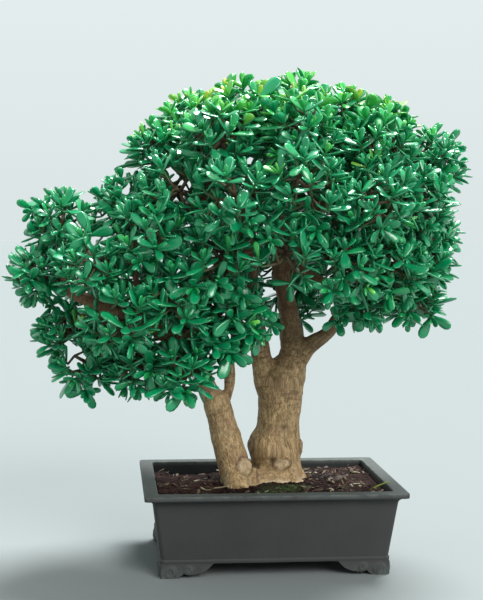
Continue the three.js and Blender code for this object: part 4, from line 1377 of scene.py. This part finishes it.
def scar_relief(points, normals):
    """Healed scars and nicks: how far out each point of the wood moves, its painted shade, and how pale it
    is.
    """
    rise = np.zeros(len(points))
    painted_shade = np.zeros(len(points))
    pale = np.zeros(len(points))
    wobble = SCAR_WOBBLE * value_noise(points, size=9, seed=21)
    rough = value_noise(points, size=5, seed=22)
    for place, facing, radius, flat, paleness in SCARS:
        out = unit(np.array(facing, float))
        depth, reach = from_line((points - np.array(place)) / (1, 1, flat), 0, out)
        reach = reach / radius + wobble
        near = bell(depth, 0, SCAR_DEEP * radius)
        rise += near * radius * SCAR_LIP * (bell(reach, *SCAR_LIP_RING) - bell(reach, *SCAR_HOLLOW))
        curl = np.cos(CURLS * reach + CURL_SWAY * rough)
        inside = clamped(SCAR_EDGE_SLOPE * (1 - reach))
        rise += near * inside * (CURL_HEIGHT * curl + CURL_ROUGHNESS * rough)
        # Painted shadow in a ring round the edge of the scar
        painted_shade = np.maximum(painted_shade, near * SCAR_DARK * bell(reach, *SCAR_DARK_RING))
        # Painted shade in the hollows between the curls
        painted_shade = np.maximum(painted_shade, near * CURL_DARK * clamped(-curl) * (reach < CURL_END))
        inside = clamped(SCAR_EDGE_SLOPE * (SCAR_PALE_END - reach))
        patchy = clamped(SCAR_PATCHY + SCAR_PATCHY * rough)
        pale = np.maximum(pale, near * paleness * inside * patchy)
    front = clamped(-FRONT_SLOPE * normals[:, 1])
    for across, up, width, height, depth in NICKS:
        reach = ((points[:, 0] - across) / width) ** 2 + ((points[:, 2] - up) / height) ** 2
        near = front * np.exp(-np.maximum(reach + NICK_RAGGED * wobble, 0))
        rise -= depth * near
        # Painted shade in the nicks, darker where they are deeper
        painted_shade = np.maximum(painted_shade, near * min(1.0, NICK_DARK * depth))
    return rise, painted_shade, pale


def make_wood():
    mesh = remeshed(scratch_object("wood", wood_shells()), WOOD_VOXEL, SMOOTH_PASSES)
    points = points_of(mesh)
    normals = np.array([vertex.normal for vertex in mesh.vertices])
    _, number, share = nearest_wood(points)
    grain = limb_grain(points, number, share)
    stretch = STRETCHES[number]
    radius = stretch[:, 3] + (stretch[:, 7] - stretch[:, 3]) * share
    thick = np.clip(radius / BARK_FULL_RADIUS, BARK_LEAST, 1)
    fibres = value_noise(grain * FIBRE_STRETCH, size=6, seed=11)
    rings = value_noise(grain * RING_STRETCH, size=RING_PITCH / 2, seed=12)
    lumps = value_noise(points, size=38, seed=13)
    lumps += SMALL_LUMP_SHARE * value_noise(points, size=17, seed=14)
    scar, painted_shade, pale = scar_relief(points, normals)
    above = points[:, 2] - soil_height(points[:, 0], points[:, 1])
    ragged = 1 + FRAY_RAGGED * value_noise(points * FRAY_STRETCH, size=8, seed=16)
    frayed = bell(above, 0, FRAY_HEIGHT * ragged)
    scraps = clamped(value_noise(points * SCRAP_STRETCH, size=5, seed=15))
    rise = thick * (FIBRE_HEIGHT * fibres + RING_HEIGHT * rings + LUMP_HEIGHT * lumps) + scar
    rise += frayed * (FRAY_REACH * scraps + FRAY_FIBRES * fibres)
    right = np.clip((points[:, 0] - FRINGE_FROM) / FRINGE_SPAN, FRINGE_LEAST, 1)
    fringe = frayed * (0.5 + 0.5 * scraps) * right
    points = points + normals * rise[:, None]
    # The scar value carries the painted shade of the scars and nicks
    values = {"grain": grain * MILLIMETRE, "scar": painted_shade, "pale": np.maximum(pale, fringe)}
    make_piece("trunk_bark", [(points, face_blocks(mesh), 0, values)], [bark_material()], ["trunk"])


# Leaves


def leaf_template():
    """A leaf 1 long, 1 wide and 1 thick: points, faces, and how near each point is to the edge, where a
    highlight is painted.
    """
    points = []
    edge = []
    for along, width, depth in LEAF_STATIONS:
        for across, up in LEAF_SECTION:
            points.append((across * width / 2, along, up * depth / 2))
            edge.append(1.0 if abs(across) == 1 else 0.0)
    points.append((0, 1, 0))
    edge.append(1.0)
    levels, count = len(LEAF_STATIONS), len(LEAF_SECTION)
    i = np.arange(count)
    quads = ring_quads(levels, count)[:, [0, 3, 2, 1]]
    last = (levels - 1) * count
    tip = np.column_stack([last + i, np.full(count, len(points) - 1), last + (i + 1) % count])
    return np.array(points), [quads, tip, i[None, :]], np.array(edge)


LEAF_POINTS, LEAF_FACES, LEAF_EDGE_HIGHLIGHT = leaf_template()


def leaf_blades(foot, along, up, length, width, thickness, bend, tone):
    """Many leaves at once, as one part."""
    count = len(foot)
    side = unit(np.cross(along, up))
    up = np.cross(side, along)
    length = np.asarray(length, float)[:, None]
    width = np.asarray(width, float)[:, None]
    x, y, z = LEAF_POINTS.T
    lift = z * thickness + LEAF_CUP * width * (2 * x) ** 2 + bend * length * y**2
    points = foot[:, None] + (x * width)[..., None] * side[:, None]
    points = points + (y * length)[..., None] * along[:, None] + lift[..., None] * up[:, None]
    first = len(LEAF_POINTS) * np.arange(count)[:, None, None]
    faces = [(first + block).reshape(-1, block.shape[1]) for block in LEAF_FACES]
    tones = np.repeat(np.asarray(tone, float), len(LEAF_POINTS))
    # The edge value marks where the leaf material paints a highlight along the rim
    return points.reshape(-1, 3), faces, 0, {"tone": tones, "edge": np.tile(LEAF_EDGE_HIGHLIGHT, count)}


def sight_line(across, up):
    """The way from the eye to a place at the middle of the plant."""
    return unit(np.array([across, 0, up]) - EYE)


def gap_distance(points):
    """How far each point lies outside the nearest line of sight that stays open."""
    nearest = np.full(len(points), np.inf)
    for sights, back in ((GAPS, np.inf), (WOOD_SIGHTS, WOOD_SIGHT_BACK)):
        for across, up, radius in sights:
            aside = from_line(points, EYE, sight_line(across, up))[1] - radius
            nearest = np.minimum(nearest, np.where(points[:, 1] < back, aside, np.inf))
    return nearest


def twig_tips(head, stars):
    """Tips of a head's twigs and the ways that they point, where there is room for leaves."""
    tips = []
    count = LOBE_DIRECTIONS if head.middle[0] < LOBE_EDGE else TWIG_DIRECTIONS
    for way in even_directions(count, rng.uniform(0, 2 * math.pi)):
        way = unit(way + rng.normal(0, WAY_SWAY, 3))
        reach = min(head.reach - TIP_INSET, head.room(way) - NEIGHBOUR_INSET)
        if reach < LEAST_TWIG_SHARE * head.reach:
            continue
        tip = head.middle + way * reach * rng.uniform(*TWIG_REACH)
        lift = rng.uniform(*TIP_LIFT) * (1 - abs(way[2]))
        tips.append((tip, unit(way + (0, 0, lift) + rng.normal(0, TIP_SWAY, 3))))
    if not tips:
        return []
    places = np.array([tip for tip, _ in tips])
    clear = (wood_distance(places) > TWIG_CLEARANCE) & (gap_distance(places) > GAP_TIP_MARGIN)
    clear &= star_clearance(places, stars) > STAR_CLEARANCE
    return [pair for pair, free in zip(tips, clear) if free]


def star_tips():
    """The large rosettes that face the front, on the heads that are seen first: tip, axis, size and turn."""
    tips = {head.number: [] for head in heads}
    for across, up, size, turn in STARS:
        sight = sight_line(across, up)
        found = []
        for head in heads:
            depth, aside = (values[0] for values in from_line(head.middle[None, :], EYE, sight))
            reach = head.reach - STAR_INSET
            if aside < reach:
                depth -= math.sqrt(reach**2 - aside**2)
            found.append((max(aside - reach, 0), depth, head.number))
        _, depth, number = min(found)
        axis = unit(-sight - (0, 0, STAR_DROOP))
        tips[number].append((EYE + depth * sight, axis, size, math.radians(turn)))
    return tips


def star_clearance(places, stars):
    """How far each place lies from the sight line of a large rosette that it would hide."""
    nearest = np.full(len(places), np.inf)
    for group in stars.values():
        for tip, *_ in group:
            behind, aside = from_line(places, tip, unit(tip - EYE))
            nearest = np.minimum(nearest, np.where(behind < STAR_CLEARANCE / 2, aside, np.inf))
    return nearest


def rosette(tip, axis, scale=1.0, turn=None):
    """Leaves of one twig, in crossed pairs: foot, way, upper side, size, pair and freshness of each."""
    reference = np.array([0.0, 0.0, 1.0]) if abs(axis[2]) < STEEP else np.array([1.0, 0.0, 0.0])
    u = unit(np.cross(reference, axis))
    v = np.cross(axis, u)
    if turn is None:
        turn = rng.uniform(0, math.pi)
    grown = scale * rng.uniform(*ROSETTE_GROWTH)
    fresh = rng.random() < FRESH_SHARE
    leaves = []
    for number, (below, size, spread) in enumerate(LEAF_PAIRS):
        angle = turn + number * math.pi / 2 + rng.normal(0, PAIR_TURN)
        out = u * math.cos(angle) + v * math.sin(angle)
        for way in (out, -out):
            lean = math.radians(spread + rng.normal(0, ANGLE_SPREAD))
            along = way * math.sin(lean) + axis * math.cos(lean)
            upper = axis * math.sin(lean) - way * math.cos(lean)
            leaf_size = max(size * grown * (1 + rng.normal(0, SIZE_SPREAD)), LEAST_LEAF)
            foot = tip - axis * below + way * TWIG_RADIUS * LEAF_FOOT_OUT
            leaves.append((foot, along, upper, leaf_size, number, fresh and number < FRESH_PAIRS))
    return leaves


def head_leaves(tips):
    """All leaves of a head that are clear of the wood and of the open lines of sight, as one part."""
    leaves = [leaf for tip in tips for leaf in rosette(*tip)]
    foot, along, upper, size, number, fresh = (np.array(column) for column in zip(*leaves))
    length = LEAF_LENGTH * size
    clear = np.ones(len(foot), bool)
    for share in (LEAF_MIDDLE, 1):
        place = foot + along * (share * length)[:, None]
        clear &= (wood_distance(place) > LEAF_CLEARANCE) & (gap_distance(place) > 0)
    count = len(foot)
    high = clamped((foot[:, 2] - YOUNG_FROM) / YOUNG_SPAN)
    young = high * rng.uniform(*YOUNG_PART, count)
    tone = TONE_LEAST + TONE_SPREAD * rng.random(count) + TONE_FIRST_PAIR * (number == 0)
    tone += TONE_YOUNG_PAIRS * young * (number < YOUNG_PAIRS)
    tone += TONE_YOUNG * young
    tone += TONE_FRESH * fresh
    tone = np.where(rng.random(count) < YELLOW_SHARE, rng.uniform(*YELLOW_TONE, count), tone)
    width = LEAF_WIDTH * size * (1 + HIGH_BREADTH * high) * rng.uniform(*BREADTH, count)
    bend = rng.normal(*LEAF_BEND, (count, 1))
    thickness = np.full((count, 1), LEAF_THICKNESS)
    measures = (foot, along, upper, length, width, thickness, bend, clamped(tone))
    return leaf_blades(*(measure[clear] for measure in measures))


def stem_part(line, radii, tones):
    """One stretch of green or brown stem."""
    points, faces, *_ = tube(line, radii, TWIG_SIDES)
    tone = np.append(np.repeat(tones, TWIG_SIDES), (tones[0], tones[-1]))
    return points, faces, 1, {"tone": tone}


def head_stems(head, tips):
    """The head's stem, its forks and its twigs."""
    spread = even_directions(FORKS_PER_HEAD, rng.uniform(0, FORK_TURN))
    forks = head.middle + FORK_REACH * head.reach * spread
    used = set()
    stem = [head.branch_end, head.middle]
    parts = [stem_part(stem, [STEM_RADIUS - STEM_SUNK, STEM_END_RADIUS], STEM_TONES)]
    for tip, axis, *_ in tips:
        nearest = int(np.argmin(np.linalg.norm(forks - tip, axis=1)))
        used.add(nearest)
        fork = forks[nearest]
        length = np.linalg.norm(tip - fork)
        line = smooth_line([fork, tip - axis * 0.5 * length, tip - axis * TWIG_STRAIGHT, tip], 2)
        radii = np.linspace(FORK_RADIUS * TWIG_BASE_SHARE, TWIG_RADIUS * TWIG_TIP_SHARE, len(line))
        parts.append(stem_part(line, radii, np.linspace(*TWIG_TONES, len(line))))
    for number in used:
        parts.append(stem_part([head.middle, forks[number]], [STEM_END_RADIUS, FORK_RADIUS], FORK_TONES))
    return parts


def make_foliage():
    stars = star_tips()
    leaf = leaf_material()
    stem = stem_material()
    for head in heads:
        tips = twig_tips(head, stars) + stars[head.number]
        number = f"{head.number + 1:02d}"
        parts = [head_leaves(tips), *head_stems(head, tips)]
        make_piece(f"foliage_{number}", parts, [leaf, stem], [f"leafy_stem_{number}"])


# Studio


def make_camera():
    turn = Matrix.Rotation(CAMERA_YAW, 3, "Z")
    forward = turn @ Vector((0, math.cos(CAMERA_PITCH), math.sin(CAMERA_PITCH)))
    level = turn @ Vector((1, 0, 0))
    upright = level.cross(forward)
    right = level * math.cos(CAMERA_ROLL) + upright * math.sin(CAMERA_ROLL)
    up = upright * math.cos(CAMERA_ROLL) - level * math.sin(CAMERA_ROLL)
    data = bpy.data.cameras.new("camera")
    data.sensor_width = SENSOR_WIDTH
    data.lens = FOCAL_PIXELS * SENSOR_WIDTH / PICTURE_HEIGHT
    data.clip_end = CAMERA_REACH
    camera = linked("camera", data)
    axes = Matrix((right, up, -forward)).transposed().to_4x4()
    camera.matrix_world = Matrix.Translation(Vector(POT_MIDDLE) + Vector(CAMERA_PLACE)) @ axes
    bpy.context.scene.camera = camera


def make_light(name, source, strength, width, colour):
    data = bpy.data.lights.new(name, "SUN")
    data.energy = strength
    data.angle = math.radians(width)
    data.color = colour
    linked(name, data).rotation_euler = (-Vector(source)).to_track_quat("-Z", "Y").to_euler()


def make_studio():
    mesh = bpy.data.meshes.new("floor")
    corners = [(x * FLOOR_REACH, y * FLOOR_REACH, 0) for x, y in ((-1, -1), (1, -1), (1, 1), (-1, 1))]
    mesh.from_pydata(corners, [], [(0, 1, 2, 3)])
    floor = linked("floor", mesh)
    matt = {"Specular_IOR_Level": FLOOR_SHINE}
    mesh.materials.append(Shader("floor").finish((*FLOOR_COLOUR, 1), FLOOR_ROUGHNESS, **matt))
    make_world()
    for light in LIGHTS:
        make_light(*light)
    bpy.context.scene.view_settings.view_transform = "Standard"


def make_world():
    """Pale light all round, brighter behind and above the plant than from the camera's side."""
    s = Shader("studio", bpy.data.worlds, "Background")
    way = s.node("SeparateXYZ", Vector=s.node("TexCoord").outputs["Generated"])
    depth = s.span(way.outputs["Y"], *WORLD_DEPTH)
    height = s.span(way.outputs["Z"], *WORLD_HEIGHT)
    s.feed(s.surface.inputs["Color"], (*WORLD_COLOUR, 1))
    s.feed(s.surface.inputs["Strength"], s.times(depth, height))
    bpy.context.scene.world = s.owner


make_camera()
make_studio()
make_pot()
make_soil()
make_wood()
make_litter()
make_moss()
make_foliage()

screen = plastic_material()
for name in ("drain_screen_left", "drain_screen_right"):
    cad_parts[name].data.materials.clear()
    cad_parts[name].data.materials.append(screen)
